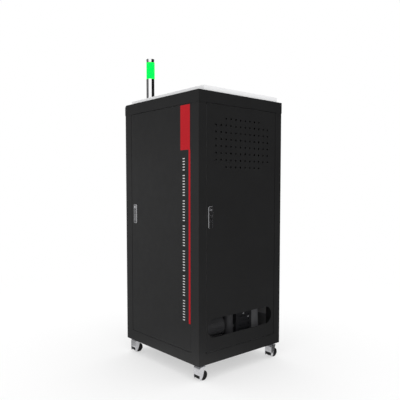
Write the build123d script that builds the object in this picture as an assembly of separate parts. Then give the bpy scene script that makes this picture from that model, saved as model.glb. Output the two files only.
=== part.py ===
from build123d import *
import os

# Vacuum plasma cleaner in a floor-standing sheet-metal cabinet on castors. Millimetres, +Z up.
# The operator front faces -Y, the vented rear door +Y and the side door +X.
# The origin is on the floor, in the middle of the whole object's outline.

# Cabinet
cabinet_width = 630.0
cabinet_depth = 672.0
cabinet_height = 1400.0
castor_height = 84.0
cap_height = 60.0
cap_sheet = 1.5
cap_front_radius = 18.0
base_height = 60.0
floor_sheet = 3.0
base_sheet = 2.0
post_across = 50.0
post_along = 60.0
post_wall = 2.0
panel_sheet = 2.0
deck_below_top = 704.0
deck_sheet = 4.0
deck_setback = 45.0
deck_hole_margin = 5.0
rail_height = 55.0
rail_depth = 7.0
rail_above_floor = 150.0

# White slab on the roof
slab_thickness = 29.0
slab_corner_radius = 4.0
slab_inset_side = 43.0
slab_inset_rear = 10.0
slab_inset_left = 28.0
slab_inset_front = 2.0

# Signal lamp
lamp_diameter = 50.0
lamp_inset = 109.0
lamp_tube_height = 123.0
lamp_lens_height = 105.0
lamp_cap_height = 12.0
lamp_cap_softening = 3.0
lamp_foot_diameter = 70.0
lamp_foot_height = 5.0
lamp_wall = 2.5

# Doors in the side and at the rear
door_gap = 3.0
door_sheet = 2.0
door_return = 16.0
pivot_in_from_edge = 13.0
pivot_depth = 8.0
pivot_radius = 3.0
pivot_lug_height = 14.0
pivot_lug_thickness = 12.0
pivot_lug_margin = 9.0
pivot_seat_gap = 1.0
running_clearance = 0.05

# Flush lift handles
handle_width = 30.0
handle_height = 110.0
handle_below_door_top = 575.0
handle_lip = 3.0
handle_body_depth = 16.0
handle_lip_margin = 2.5
handle_lip_softening = 1.0
handle_corner_radius = 6.0
handle_hole_clearance = 0.3
handle_side_inset = 37.0
handle_rear_inset = 26.0
lever_width = 19.0
lever_length = 72.0
lever_proud = 4.0
lever_thickness = 9.0
lever_gap = 0.5
lever_pin_radius = 2.0
lever_barrel_radius = 4.8
lever_pin_depth = 2.5
lever_pocket_depth = 8.0
lever_pocket_base = -47.0
lever_thumb_radius = 9.0
lever_thumb_rise = 6.3
lever_thumb_from_end = 18.0
lever_softening = 3.0
button_radius = 7.0
button_proud = 5.0
button_depth = 6.0
button_bore_depth = 10.0
button_offset = 39.0
button_softening = 1.0
spindle_radius = 5.0
spindle_length = 7.0
cam_thickness = 3.0
cam_width = 16.0
cam_setback = 3.0
cam_short_of_edge = 1.0

# Vent holes and slot in the rear door
vent_columns = 12
vent_rows = 8
vent_pitch = 35.7
vent_hole_diameter = 9.0
vent_hole_sides = 6
vent_corner_blank_count = 2
vent_centre_below_top = 258.5
vent_margin = 14.0
slot_height = 99.0
slot_hinge_margin = 19.5
slot_handle_margin = 8.5
slot_centre_above_base = 123.0

# Fan behind the vent holes
fan_size = 120.0
fan_depth = 38.0
fan_bore = 114.0
fan_hub_radius = 20.0
fan_blade_count = 7
fan_blade_sheet = 2.5
fan_blade_chord = 36.0
fan_blade_pitch = 48.0
fan_blade_root = 4.0
fan_tip_gap = 2.0
fan_bar = 7.0
fan_bar_count = 3
fan_bar_depth = 5.0
fan_corner_radius = 6.0
fan_pin_radius = 3.0
fan_pin_end_gap = 3.0
fan_rotor_gap = 1.0

# Vacuum chamber and its door
chamber_size = 380.0
chamber_wall = 16.0
chamber_rear_space = 266.5
chamber_proud = 5.5
chamber_corner_radius = 6.0
chamber_flange_gap = 3.0
chamber_door_size = 376.0
chamber_door_thickness = 24.0
chamber_door_corner = 10.0
chamber_door_chamfer = 2.0
chamber_door_gap = 0.3
seal_width = 5.0
seal_inset = 5.0
seal_groove_depth = 3.5
seal_corner_radius = 8.0
seal_clearance = 0.2
window_radius = 85.0
window_bore_radius = 78.0
window_thickness = 10.0
window_clearance = 0.3
window_setback = 2.0
tray_thickness = 3.0
tray_level = 110.0
tray_front_setback = 16.0
tray_rear_gap = 76.0
tray_rail = 12.0
tray_side_gap = 1.0
tray_slot_count = 5
tray_slot_pitch = 60.0
tray_slot_width = 12.0
tray_slot_margin = 45.0
hinge_offset = 12.0
hinge_pin_radius = 4.0
hinge_arm_height = 26.0
hinge_block_height = 14.0
hinge_block_width = 16.0
hinge_from_end = 60.0
hinge_pin_setback = 5.7
hinge_arm_thickness = 11.0
hinge_arm_overlap = 2.0
hinge_seat_gap = 0.5
latch_hub_radius = 15.0
latch_hub_height = 16.0
latch_arm_length = 62.0
latch_arm_width = 14.0
latch_arm_thickness = 9.6
latch_bore_end = 2.0
latch_spindle_radius = 5.0
latch_from_edge = 24.0

# Operator panel
front_split_below_deck = 140.0
screen_width = 206.0
screen_height = 142.0
screen_proud = 6.0
screen_body_depth = 40.0
screen_lip = 8.0
screen_across = -50.0
screen_below_top = 184.0
screen_clearance = 0.5
screen_corner_radius = 4.0
screen_chamfer = 1.5
screen_glass_setback = 1.2
screen_glass_margin = 4.0
control_across = 150.0
stop_below_top = 144.0
start_below_top = 222.0
collar_radius = 18.0
collar_height = 6.0
collar_body_radius = 11.0
collar_body_depth = 30.0
collar_end_wall = 3.0
collar_softening = 2.0
stop_head_radius = 19.0
stop_head_height = 16.0
stop_head_softening = 5.0
start_head_radius = 11.0
start_head_height = 7.0
start_head_softening = 2.0
plunger_radius = 6.0
plunger_depth = 20.0
button_travel = 4.0
button_travel_gap = 1.0

# Vacuum pump behind the slot
pump_rear_space = 64.5
pump_axis_above_floor = 145.0
motor_radius = 73.0
motor_length = 165.0
motor_from_side = 95.0
motor_rib_count = 16
motor_rib_height = 4.0
motor_rib_width = 3.2
motor_rib_length = 102.0
motor_rib_start = 8.0
motor_cowl_length = 53.0
motor_cowl_softening = 18.0
terminal_length = 60.0
terminal_depth = 70.0
terminal_height = 26.0
terminal_from_flange = 33.0
terminal_softening = 5.0
coupling_length = 72.0
coupling_radius = 25.0
pump_casing_length = 125.0
pump_casing_depth = 170.0
pump_casing_height = 200.0
pump_casing_softening = 10.0
pump_fin_count = 6
pump_fin_pitch = 26.0
pump_fin_groove = 12.0
pump_fin_depth = 6.0
pump_fin_margin = 20.0
pump_fin_base = 30.0
pump_foot_height = 22.0
pump_foot_radius = 14.0
pump_foot_inset = 26.0
inlet_boss_margin = 6.0
inlet_boss_height = 12.0
canister_radius = 27.0
canister_height = 241.0
canister_from_casing = 8.5
canister_softening = 9.0
canister_band_radius = 27.8
canister_band_height = 8.0
canister_band_below_top = 30.0
canister_pipe_radius = 12.0
canister_pipe_below_top = 130.0
filter_length = 74.0
filter_depth = 150.0
filter_height = 236.0
filter_softening = 8.0

# Vacuum line and generator
line_in_from_pump_middle = 45.0
line_radius = 20.0
line_wall = 2.0
line_bend = 45.0
line_straight = 40.0
bellows_radius = 29.0
bellows_count = 6
bellows_pitch = 22.0
flange_radius = 37.0
flange_thickness = 9.0
generator_width = 400.0
generator_depth = 280.0
generator_height = 150.0
generator_front_gap = 12.5
generator_softening = 4.0

# Castors with two wheels under a hood
castor_plate_size = 54.0
castor_plate_sheet = 3.0
castor_inset = 38.0
castor_cup_radius = 18.0
castor_cup_height = 7.0
castor_pin_radius = 5.0
castor_pin_length = 10.0
castor_pin_end_gap = 2.0
castor_crown_gap = 0.5
castor_wheel_radius = 26.0
castor_wheel_width = 16.5
castor_wheel_softening = 2.5
castor_trail = 10.0
castor_hood_width = 50.0
castor_hood_gap = 1.0
castor_hood_sheet = 2.0
castor_hood_rear = 8.0
castor_hood_foot = 16.0
castor_hood_corner = 5.0
castor_skirt_sheet = 2.5
castor_skirt_waist = 1.0
castor_skirt_waist_level = 46.0
castor_web = 8.0
castor_web_gap = 1.0
castor_hub_radius = 6.0
castor_hub_boss = 10.0
castor_cap_radius = 9.0
castor_dish_radius = 17.0
castor_dish_depth = 2.0

# Worked out from the values above
body_bottom = castor_height
body_top = castor_height + cabinet_height
body_x = cabinet_width / 2 - cap_sheet
body_y = cabinet_depth / 2 - cap_sheet
post_inner_x = body_x - post_across
post_inner_y = body_y - post_along
opening_bottom = body_bottom + base_height
opening_top = body_top - cap_height
floor_top = body_bottom + floor_sheet
door_bottom = opening_bottom + door_gap
door_top = opening_top - door_gap
handle_centre_level = door_top - handle_below_door_top
side_door_width = 2 * (post_inner_y - door_gap)
rear_door_width = 2 * (post_inner_x - door_gap)
door_thickness = door_sheet + door_return
vent_centre_level = body_top - vent_centre_below_top
slot_length = rear_door_width - slot_hinge_margin - slot_handle_margin
slot_centre_level = opening_bottom + slot_centre_above_base
slab_top = body_top + slab_thickness
deck_level = body_top - deck_below_top
front_split_level = deck_level - front_split_below_deck
screen_level = body_top - screen_below_top
stop_level = body_top - stop_below_top
start_level = body_top - start_below_top
chamber_front = -(body_y + chamber_proud)
chamber_rear = body_y - chamber_rear_space
chamber_level = deck_level + chamber_size / 2
chamber_hollow = chamber_size / 2 - chamber_wall
chamber_door_inner = chamber_front - chamber_door_gap
chamber_door_outer = chamber_door_inner - chamber_door_thickness
front_reach = -chamber_door_outer + latch_hub_height + chamber_door_gap
rear_reach = body_y + button_proud
side_reach = body_x + button_proud
castor_x = cabinet_width / 2 - castor_inset
castor_y = cabinet_depth / 2 - castor_inset
left_reach = max(cabinet_width / 2, castor_x + castor_trail + castor_wheel_radius)
frame_shift = Vector((left_reach - side_reach) / 2, (front_reach - rear_reach) / 2, 0)


overshoot = 1.0  # how far a cutter passes the face that it cuts, and a joined shape enters its neighbour


def block(x0, x1, y0, y1, z0, z1):
    """A box between two corners."""
    size = Box(x1 - x0, y1 - y0, z1 - z0, align=(Align.MIN, Align.MIN, Align.MIN))
    return Pos(x0, y0, z0) * size


def upright(radius, x, y, z0, z1):
    """A vertical cylinder from z0 to z1."""
    return Pos(x, y, (z0 + z1) / 2) * Cylinder(radius, z1 - z0)


def along_y(radius, x, z, y0, y1):
    """A cylinder along Y from y0 to y1."""
    return Pos(x, (y0 + y1) / 2, z) * Rot(90, 0, 0) * Cylinder(radius, y1 - y0)


def along_x(radius, y, z, x0, x1):
    """A cylinder along X from x0 to x1."""
    return Pos((x0 + x1) / 2, y, z) * Rot(0, 90, 0) * Cylinder(radius, x1 - x0)


def plate_y(face, y0, y1):
    """A face drawn in X and Z, given thickness from y0 to y1."""
    turned = Plane.XZ.offset(-y0) * face
    return extrude(turned, y1 - y0, dir=(0, 1, 0))


def save(name, *solids):
    """Writes one node, moved from the cabinet's own middle to the object's."""
    placed = [Location(frame_shift) * solid for solid in solids]
    shape = placed[0] if len(placed) == 1 else Compound(placed)
    os.makedirs("parts", exist_ok=True)
    export_step(shape, f"parts/{name}.step")


def base_pan():
    """Folded floor sheet with four walls between the posts."""
    pan = block(-body_x, body_x, -body_y, body_y, body_bottom, floor_top)
    for side in (-1, 1):
        across = sorted([side * body_x, side * (body_x - base_sheet)])
        along = sorted([side * body_y, side * (body_y - base_sheet)])
        pan += block(across[0], across[1], -post_inner_y, post_inner_y, body_bottom, opening_bottom)
        pan += block(-post_inner_x, post_inner_x, along[0], along[1], body_bottom, opening_bottom)
    return pan


def corner_post(side_x, side_y):
    """Square tube from the floor sheet up into the cap."""
    top = body_top - (cap_sheet if side_y > 0 else cap_front_radius)
    centre = (side_x * (body_x - post_across / 2), side_y * (body_y - post_along / 2))
    tube = Box(post_across, post_along, top - floor_top)
    tube -= Box(post_across - 2 * post_wall, post_along - 2 * post_wall, top - floor_top)
    return Pos(centre[0], centre[1], (top + floor_top) / 2) * tube


def top_cap():
    """Roof sheet with a skirt all round and a rounded front edge."""
    half_x = cabinet_width / 2
    half_y = cabinet_depth / 2
    outer = block(-half_x, half_x, -half_y, half_y, opening_top, body_top)
    front_edge = outer.edges().filter_by(Axis.X).group_by(Axis.Z)[-1].sort_by(Axis.Y)[0]
    outer = fillet(front_edge, cap_front_radius)
    inner = block(-body_x, body_x, -body_y, body_y, opening_top, body_top - cap_sheet)
    front_edge = inner.edges().filter_by(Axis.X).group_by(Axis.Z)[-1].sort_by(Axis.Y)[0]
    inner = fillet(front_edge, cap_front_radius - cap_sheet)
    return outer - inner


def white_slab():
    """Slab with softened upper edges, lying on the roof."""
    slab = block(
        -(cabinet_width / 2 - slab_inset_left),
        cabinet_width / 2 - slab_inset_side,
        -(cabinet_depth / 2 - slab_inset_front),
        cabinet_depth / 2 - slab_inset_rear,
        body_top,
        slab_top,
    )
    return fillet(slab.edges().group_by(Axis.Z)[-1] + slab.edges().filter_by(Axis.Z), slab_corner_radius)


lamp_x = cabinet_width / 2 - lamp_inset
lamp_y = -(cabinet_depth / 2 - lamp_inset)
lamp_lens_base = slab_top + lamp_tube_height
lamp_cap_base = lamp_lens_base + lamp_lens_height


def lamp_tube():
    """Chrome tube with a round foot on the slab."""
    radius = lamp_diameter / 2
    tube = upright(radius, lamp_x, lamp_y, slab_top, lamp_lens_base)
    foot = upright(lamp_foot_diameter / 2, lamp_x, lamp_y, slab_top, slab_top + lamp_foot_height)
    foot = chamfer(foot.edges().group_by(Axis.Z)[-1], lamp_foot_height / 2)
    return tube + foot - upright(radius - lamp_wall, lamp_x, lamp_y, slab_top, lamp_lens_base)


def lamp_lens():
    """Green lens, a tube closed at both ends."""
    radius = lamp_diameter / 2
    lens = upright(radius, lamp_x, lamp_y, lamp_lens_base, lamp_cap_base)
    hollow = upright(
        radius - lamp_wall, lamp_x, lamp_y, lamp_lens_base + lamp_wall, lamp_cap_base - lamp_wall
    )
    return lens - hollow


def lamp_end():
    """Chrome end cap with a softened rim."""
    cap = upright(lamp_diameter / 2, lamp_x, lamp_y, lamp_cap_base, lamp_cap_base + lamp_cap_height)
    return chamfer(cap.edges().group_by(Axis.Z)[-1], lamp_cap_softening)


# A door is drawn with its hinge edge at x = 0, its outer face at y = 0 and its inside at -y.
rear_door_place = Pos(-post_inner_x + door_gap, body_y, 0)
side_door_place = Pos(body_x, post_inner_y - door_gap, 0) * Rot(0, 0, -90)


lever_pin_z = lever_pocket_base + lever_barrel_radius + lever_gap


def handle_hole(handle_x):
    """Space that the handle's body passes through, as a cutter."""
    size_x = handle_width - 2 * handle_lip_margin + 2 * handle_hole_clearance
    size_z = handle_height - 2 * handle_lip_margin + 2 * handle_hole_clearance
    return Pos(handle_x, 0, handle_centre_level) * Box(size_x, 4 * door_thickness, size_z)


def door_skin(width, handle_x):
    """Flat outer sheet of a door with the opening for its handle."""
    return block(0, width, -door_sheet, 0, door_bottom, door_top) - handle_hole(handle_x)


def door_frame(width):
    """Returns along the four edges, with a drilled lug at each hinge corner."""
    inner_low = door_bottom + door_sheet
    inner_high = door_top - door_sheet
    frame = block(0, width, -door_thickness, -door_sheet, door_bottom, door_top)
    frame -= block(door_sheet, width - door_sheet, -door_thickness, -door_sheet, inner_low, inner_high)
    lug_end = pivot_in_from_edge + pivot_lug_margin
    bore = pivot_radius + running_clearance
    for low in (door_bottom, door_top - pivot_lug_height):
        high = low + pivot_lug_height
        frame += block(0, lug_end, -door_thickness, -door_sheet, low, high)
        frame -= upright(bore, pivot_in_from_edge, -pivot_depth, low - overshoot, high + overshoot)
    return frame


def door_pivots():
    """Two blocks beside the hinge post, each with a pin that enters the door's lug."""
    pivots = []
    block_end = pivot_in_from_edge + pivot_lug_margin
    inner = -pivot_depth - pivot_lug_thickness / 2
    outer = -pivot_depth + pivot_lug_thickness / 2
    for edge, direction in ((door_bottom, 1), (door_top, -1)):
        seat = edge - direction * pivot_seat_gap
        levels = sorted([seat, seat - direction * pivot_lug_height])
        pin = sorted([seat - direction * overshoot, edge + direction * (pivot_lug_height - pivot_seat_gap)])
        pivot = block(-door_gap, block_end, inner, outer, levels[0], levels[1])
        pivots.append(pivot + upright(pivot_radius, pivot_in_from_edge, -pivot_depth, pin[0], pin[1]))
    return pivots


def handle_case(handle_x):
    """Case with a lip, a pocket for the lever, its pin, the button's bore and a spindle."""
    lip = RectangleRounded(handle_width, handle_height, handle_corner_radius)
    body = Rectangle(handle_width - 2 * handle_lip_margin, handle_height - 2 * handle_lip_margin)
    case = plate_y(lip, 0, handle_lip)
    case = chamfer(case.faces().sort_by(Axis.Y)[-1].edges(), handle_lip_softening)
    case += plate_y(body, -handle_body_depth, 0)
    side = lever_width / 2 + lever_gap
    top = lever_pocket_base + lever_length + 2 * lever_gap
    mouth = handle_lip + overshoot
    case -= block(-side, side, -lever_pocket_depth, mouth, lever_pocket_base, top)
    case += along_x(lever_pin_radius, -lever_pin_depth, lever_pin_z, -side - overshoot, side + overshoot)
    case -= along_y(button_radius + running_clearance, 0, button_offset, -button_bore_depth, mouth)
    spindle_end = -handle_body_depth - spindle_length
    case += along_y(spindle_radius, 0, 0, spindle_end, -handle_body_depth + overshoot)
    return Pos(handle_x, 0, handle_centre_level) * case


def handle_lever(handle_x):
    """Lever with a barrel round the pin and a thumb hollow at its free end."""
    top = lever_pocket_base + lever_length
    half = lever_width / 2
    bar = block(-half, half, lever_proud - lever_thickness, lever_proud, lever_pin_z, top)
    bar = fillet(bar.edges().filter_by(Axis.X).sort_by(Axis.Z)[-2:], lever_softening)
    lever = bar + along_x(lever_barrel_radius, -lever_pin_depth, lever_pin_z, -half, half)
    ends = (-half - overshoot, half + overshoot)
    lever -= along_x(lever_pin_radius + running_clearance, -lever_pin_depth, lever_pin_z, *ends)
    thumb_y = lever_proud + lever_thumb_rise
    lever -= along_x(lever_thumb_radius, thumb_y, top - lever_thumb_from_end, *ends)
    return Pos(handle_x, 0, handle_centre_level) * lever


def handle_button(handle_x):
    """Push button with a softened face."""
    button = along_y(button_radius, 0, button_offset, -button_depth, button_proud)
    button = chamfer(button.faces().sort_by(Axis.Y)[-1].edges(), button_softening)
    return Pos(handle_x, 0, handle_centre_level) * button


def handle_cam(handle_x, reach):
    """Flat cam on the spindle behind the door's frame."""
    outer = -handle_body_depth - cam_setback
    inner = outer - cam_thickness
    cam = block(0, reach, inner, outer, -cam_width / 2, cam_width / 2)
    cam += along_y(cam_width / 2, 0, 0, inner, outer)
    cam -= along_y(spindle_radius + running_clearance, 0, 0, inner - overshoot, outer + overshoot)
    return Pos(handle_x, 0, handle_centre_level) * cam


def save_door(name, place, width, handle_inset, skin):
    """Writes a door's frame, pivots and handle, and the skin that is handed in."""
    handle_x = width - handle_inset
    save(f"{name}_door", place * skin)
    save(f"{name}_door_frame", place * door_frame(width))
    save(f"{name}_door_pivots", *[place * pivot for pivot in door_pivots()])
    save(f"{name}_handle_case", place * handle_case(handle_x))
    save(f"{name}_handle_lever", place * handle_lever(handle_x))
    save(f"{name}_handle_button", place * handle_button(handle_x))
    save(f"{name}_latch_cam", place * handle_cam(handle_x, handle_inset - cam_short_of_edge))


# Vent pattern and slot, in the rear door's own frame
vent_x = rear_door_width / 2
vent_half_width = (vent_columns - 1) * vent_pitch / 2 + vent_margin
vent_half_height = (vent_rows - 1) * vent_pitch / 2 + vent_margin
slot_x = slot_hinge_margin + slot_length / 2


def rear_door_skin():
    """Rear door sheet with the long slot and the place of the vent plate."""
    skin = door_skin(rear_door_width, rear_door_width - handle_rear_inset)
    slot = Pos(slot_x, slot_centre_level) * SlotOverall(slot_length, slot_height)
    skin -= plate_y(slot, -2 * door_sheet, door_sheet)
    skin -= block(
        vent_x - vent_half_width,
        vent_x + vent_half_width,
        -2 * door_sheet,
        door_sheet,
        vent_centre_level - vent_half_height,
        vent_centre_level + vent_half_height,
    )
    return skin


def vent_plate():
    """Plate set flush in the door, with six-sided holes in every place but the pattern's corners."""
    plate = Rectangle(2 * vent_half_width, 2 * vent_half_height)
    for row in range(vent_rows):
        end_row = row in (0, vent_rows - 1)
        for column in range(vent_columns):
            from_side = min(column, vent_columns - 1 - column)
            if end_row and from_side < vent_corner_blank_count:
                continue
            across = (column - (vent_columns - 1) / 2) * vent_pitch
            up = (row - (vent_rows - 1) / 2) * vent_pitch
            plate -= Pos(across, up) * RegularPolygon(vent_hole_diameter / 2, vent_hole_sides)
    return Pos(vent_x, 0, vent_centre_level) * plate_y(plate, -door_sheet, 0)


fan_rotor_back = -door_sheet - fan_depth + fan_bar_depth + fan_rotor_gap
fan_rotor_front = -door_sheet - fan_rotor_gap
fan_tip_radius = fan_bore / 2 - fan_tip_gap


def fan_housing():
    """Square fan frame with a round duct and a motor seat on three bars."""
    front = -door_sheet
    back = front - fan_depth
    frame = plate_y(RectangleRounded(fan_size, fan_size, fan_corner_radius), back, front)
    frame -= along_y(fan_bore / 2, 0, 0, back - overshoot, front + overshoot)
    seat = back + fan_bar_depth
    frame += along_y(fan_hub_radius, 0, 0, back, seat)
    for turn in range(fan_bar_count):
        bar = block(0, fan_bore / 2 + overshoot, back, seat, -fan_bar / 2, fan_bar / 2)
        frame += Rot(0, 360 * turn / fan_bar_count + 90, 0) * bar
    frame += along_y(fan_pin_radius, 0, 0, back, fan_rotor_front - fan_pin_end_gap)
    return Pos(vent_x, 0, vent_centre_level) * frame


def fan_rotor():
    """Hub and pitched blades that turn on the fan's axle."""
    rotor = along_y(fan_hub_radius, 0, 0, fan_rotor_back, fan_rotor_front)
    root = fan_hub_radius - fan_blade_root
    for number in range(fan_blade_count):
        blade = Box(fan_tip_radius - root, fan_blade_sheet, fan_blade_chord)
        blade = Pos((fan_tip_radius + root) / 2, 0, 0) * Rot(fan_blade_pitch, 0, 0) * blade
        middle = (fan_rotor_front + fan_rotor_back) / 2
        rotor += Pos(0, middle, 0) * Rot(0, number * 360 / fan_blade_count, 0) * blade
    rotor &= along_y(fan_tip_radius, 0, 0, fan_rotor_back, fan_rotor_front)
    bore_end = fan_rotor_front - fan_pin_end_gap + fan_rotor_gap
    rotor -= along_y(fan_pin_radius + running_clearance, 0, 0, fan_rotor_back - overshoot, bore_end)
    return Pos(vent_x, 0, vent_centre_level) * rotor


def left_panel():
    """Fixed sheet between the left posts."""
    return block(-body_x, -body_x + panel_sheet, -post_inner_y, post_inner_y, opening_bottom, opening_top)


def left_rail():
    """Stiffening rail inside the left panel, from post to post behind the pump."""
    outer = -body_x + panel_sheet
    low = floor_top + rail_above_floor
    return block(outer, outer + rail_depth, -post_inner_y, post_inner_y, low, low + rail_height)


def front_panel():
    """Upper front sheet with the openings for the chamber, the screen and the controls."""
    inner = -body_y + panel_sheet
    panel = block(-post_inner_x, post_inner_x, -body_y, inner, front_split_level, opening_top)
    hole = chamber_size + 2 * chamber_flange_gap
    panel -= Pos(0, -body_y, chamber_level) * Box(hole, 4 * panel_sheet, hole)
    screen_hole_x = screen_width - 2 * screen_lip + 2 * screen_clearance
    screen_hole_z = screen_height - 2 * screen_lip + 2 * screen_clearance
    panel -= Pos(screen_across, -body_y, screen_level) * Box(screen_hole_x, 4 * panel_sheet, screen_hole_z)
    for level in (stop_level, start_level):
        bore = collar_body_radius + screen_clearance
        panel -= along_y(bore, control_across, level, -body_y - overshoot, inner + overshoot)
    return panel


def front_lower_panel():
    """Lower front sheet between the posts."""
    inner = -body_y + panel_sheet
    return block(-post_inner_x, post_inner_x, -body_y, inner, opening_bottom, front_split_level)


def touch_screen():
    """Screen bezel with its glass set a little back, and the housing behind the panel."""
    face = -body_y
    front = face - screen_proud
    edge_x = screen_width / 2
    edge_z = screen_height / 2
    bezel = block(-edge_x, edge_x, front, face, -edge_z, edge_z)
    bezel = fillet(bezel.edges().filter_by(Axis.Y), screen_corner_radius)
    bezel = chamfer(bezel.faces().sort_by(Axis.Y)[0].edges(), screen_chamfer)
    half_x = edge_x - screen_lip
    half_z = edge_z - screen_lip
    bezel += block(-half_x, half_x, face - overshoot, face + screen_body_depth, -half_z, half_z)
    glass_x = half_x - screen_glass_margin
    glass_z = half_z - screen_glass_margin
    bezel -= block(-glass_x, glass_x, front - overshoot, front + screen_glass_setback, -glass_z, glass_z)
    return Pos(screen_across, 0, screen_level) * bezel


def control_collar(level):
    """Panel collar of a push button, with the bore that its plunger slides in."""
    front = -body_y - collar_height
    end = -body_y + collar_body_depth
    collar = along_y(collar_radius, 0, 0, front, -body_y)
    collar = chamfer(collar.faces().sort_by(Axis.Y)[0].edges(), collar_softening)
    collar += along_y(collar_body_radius, 0, 0, -body_y - overshoot, end)
    collar -= along_y(plunger_radius + running_clearance, 0, 0, front - overshoot, end - collar_end_wall)
    return Pos(control_across, 0, level) * collar


def push_head(level, radius, height, softening):
    """Push button head and its plunger."""
    seat = -body_y - collar_height - button_travel - button_travel_gap
    head = along_y(radius, 0, 0, seat - height, seat)
    head = chamfer(head.faces().sort_by(Axis.Y)[0].edges(), softening)
    head += along_y(plunger_radius, 0, 0, seat - overshoot, seat + plunger_depth)
    return Pos(control_across, 0, level) * head


def chamber_deck():
    """Shelf welded between the posts, with a hole for the vacuum line."""
    front = -body_y + panel_sheet
    low = deck_level - deck_sheet
    deck = block(-post_inner_x, post_inner_x, front, body_y - deck_setback, low, deck_level)
    hole_radius = flange_radius + deck_hole_margin
    return deck - upright(hole_radius, line_x, line_across, low - overshoot, deck_level + overshoot)


def chamber_body():
    """Welded aluminium chamber, open at the front, with a seal groove and a rear port."""
    half = chamber_size / 2
    low = chamber_level - half
    high = chamber_level + half
    body = block(-half, half, chamber_front, chamber_rear, low, high)
    body = fillet(body.edges().filter_by(Axis.Y), chamber_corner_radius)
    floor = chamber_level - chamber_hollow
    roof = chamber_level + chamber_hollow
    mouth = chamber_front - overshoot
    body -= block(-chamber_hollow, chamber_hollow, mouth, chamber_rear - chamber_wall, floor, roof)
    body -= Pos(0, 0, chamber_level) * seal_ring(chamber_front, seal_groove_depth, 0)
    bore = line_radius - line_wall
    port_start = chamber_rear - chamber_wall - overshoot
    return body - along_y(bore, line_x, chamber_level, port_start, chamber_rear + overshoot)


def seal_ring(face, depth, clearance):
    """Square ring that fills the groove in the chamber's front face, or cuts it."""
    outside = chamber_size - 2 * seal_inset - 2 * clearance
    inside = chamber_size - 2 * seal_inset - 2 * seal_width + 2 * clearance
    inner_radius = seal_corner_radius - seal_width / 2
    ring = RectangleRounded(outside, outside, seal_corner_radius)
    ring -= RectangleRounded(inside, inside, inner_radius)
    return plate_y(ring, face, face + depth)


def chamber_seal():
    """Rubber seal in the groove, level with the chamber's face."""
    return Pos(0, 0, chamber_level) * seal_ring(chamber_front, seal_groove_depth, seal_clearance)


def product_tray():
    """Slotted tray on two side rails that stand on the chamber's floor."""
    front = chamber_front + tray_front_setback
    rear = chamber_rear - chamber_wall - tray_rear_gap
    floor = chamber_level - chamber_hollow
    level = floor + tray_level
    half = chamber_hollow - tray_side_gap
    tray = block(-half, half, front, rear, level, level + tray_thickness)
    slot = Rot(0, 0, 90) * SlotOverall(rear - front - 2 * tray_slot_margin, tray_slot_width)
    slot = Pos(0, (front + rear) / 2, level - overshoot) * extrude(slot, tray_thickness + 2 * overshoot)
    for number in range(tray_slot_count):
        tray -= Pos((number - (tray_slot_count - 1) / 2) * tray_slot_pitch, 0, 0) * slot
    for side in (-1, 1):
        edges = sorted([side * half, side * (half - tray_rail)])
        tray += block(edges[0], edges[1], front, rear, floor, level)
    return tray


chamber_pivot_x = -chamber_door_size / 2 - hinge_offset
chamber_pivot_y = chamber_door_inner - hinge_pin_setback
hinge_levels = [
    chamber_level - chamber_door_size / 2 + hinge_from_end,
    chamber_level + chamber_door_size / 2 - hinge_from_end,
]


def chamber_door():
    """Thick plate with the window's seat, two hinge arms and the latch's spindle."""
    half = chamber_door_size / 2
    low = chamber_level - half
    high = chamber_level + half
    front = chamber_door_outer - overshoot
    door = block(-half, half, chamber_door_outer, chamber_door_inner, low, high)
    door = fillet(door.edges().filter_by(Axis.Y), chamber_door_corner)
    door = chamfer(door.faces().sort_by(Axis.Y)[0].edges(), chamber_door_chamfer)
    door -= along_y(window_bore_radius, 0, chamber_level, front, chamber_door_inner + overshoot)
    seat = chamber_door_outer + window_thickness + window_setback
    door -= along_y(window_radius + window_clearance, 0, chamber_level, front, seat)
    bore = hinge_pin_radius + running_clearance
    reach = hinge_arm_thickness / 2
    arm_end = -half + hinge_arm_overlap
    for level in hinge_levels:
        ends = (level - hinge_arm_height / 2, level + hinge_arm_height / 2)
        arm = block(chamber_pivot_x, arm_end, chamber_pivot_y - reach, chamber_pivot_y + reach, *ends)
        arm += upright(reach, chamber_pivot_x, chamber_pivot_y, *ends)
        arm -= upright(bore, chamber_pivot_x, chamber_pivot_y, ends[0] - overshoot, ends[1] + overshoot)
        door += arm
    spindle_end = chamber_door_outer - latch_hub_height + latch_bore_end + overshoot
    spindle = along_y(latch_spindle_radius, 0, 0, spindle_end, chamber_door_outer + overshoot)
    return door + Pos(half - latch_from_edge, 0, chamber_level) * spindle


def chamber_hinges():
    """Two blocks on the front sheet, each with a pin up through the door's arm."""
    hinges = []
    x0 = chamber_pivot_x - hinge_block_width / 2
    x1 = chamber_pivot_x + hinge_block_width / 2
    front = chamber_pivot_y - hinge_arm_thickness / 2 - hinge_seat_gap
    for level in hinge_levels:
        pin_top = level + hinge_arm_height / 2
        top = level - hinge_arm_height / 2 - hinge_seat_gap
        hinge = block(x0, x1, front, -body_y, top - hinge_block_height, top)
        pin = upright(hinge_pin_radius, chamber_pivot_x, chamber_pivot_y, top - overshoot, pin_top)
        hinges.append(hinge + pin)
    return hinges


def chamber_window():
    """Round glass in its seat."""
    seat = chamber_door_outer + window_setback
    return along_y(window_radius, 0, chamber_level, seat, seat + window_thickness)


def chamber_latch():
    """Latch lever on the door's spindle, with a hub and an arm that hangs down."""
    base = chamber_door_outer - chamber_door_gap
    front = base - latch_hub_height
    middle = base - latch_hub_height / 2
    arm_faces = (middle - latch_arm_thickness / 2, middle + latch_arm_thickness / 2)
    latch = along_y(latch_hub_radius, 0, 0, front, base)
    half = latch_arm_width / 2
    latch += block(-half, half, *arm_faces, -latch_arm_length, 0)
    latch += along_y(half, 0, -latch_arm_length, *arm_faces)
    bore = latch_spindle_radius + running_clearance
    latch -= along_y(bore, 0, 0, front + latch_bore_end, base + overshoot)
    return Pos(chamber_door_size / 2 - latch_from_edge, 0, chamber_level) * latch


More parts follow.
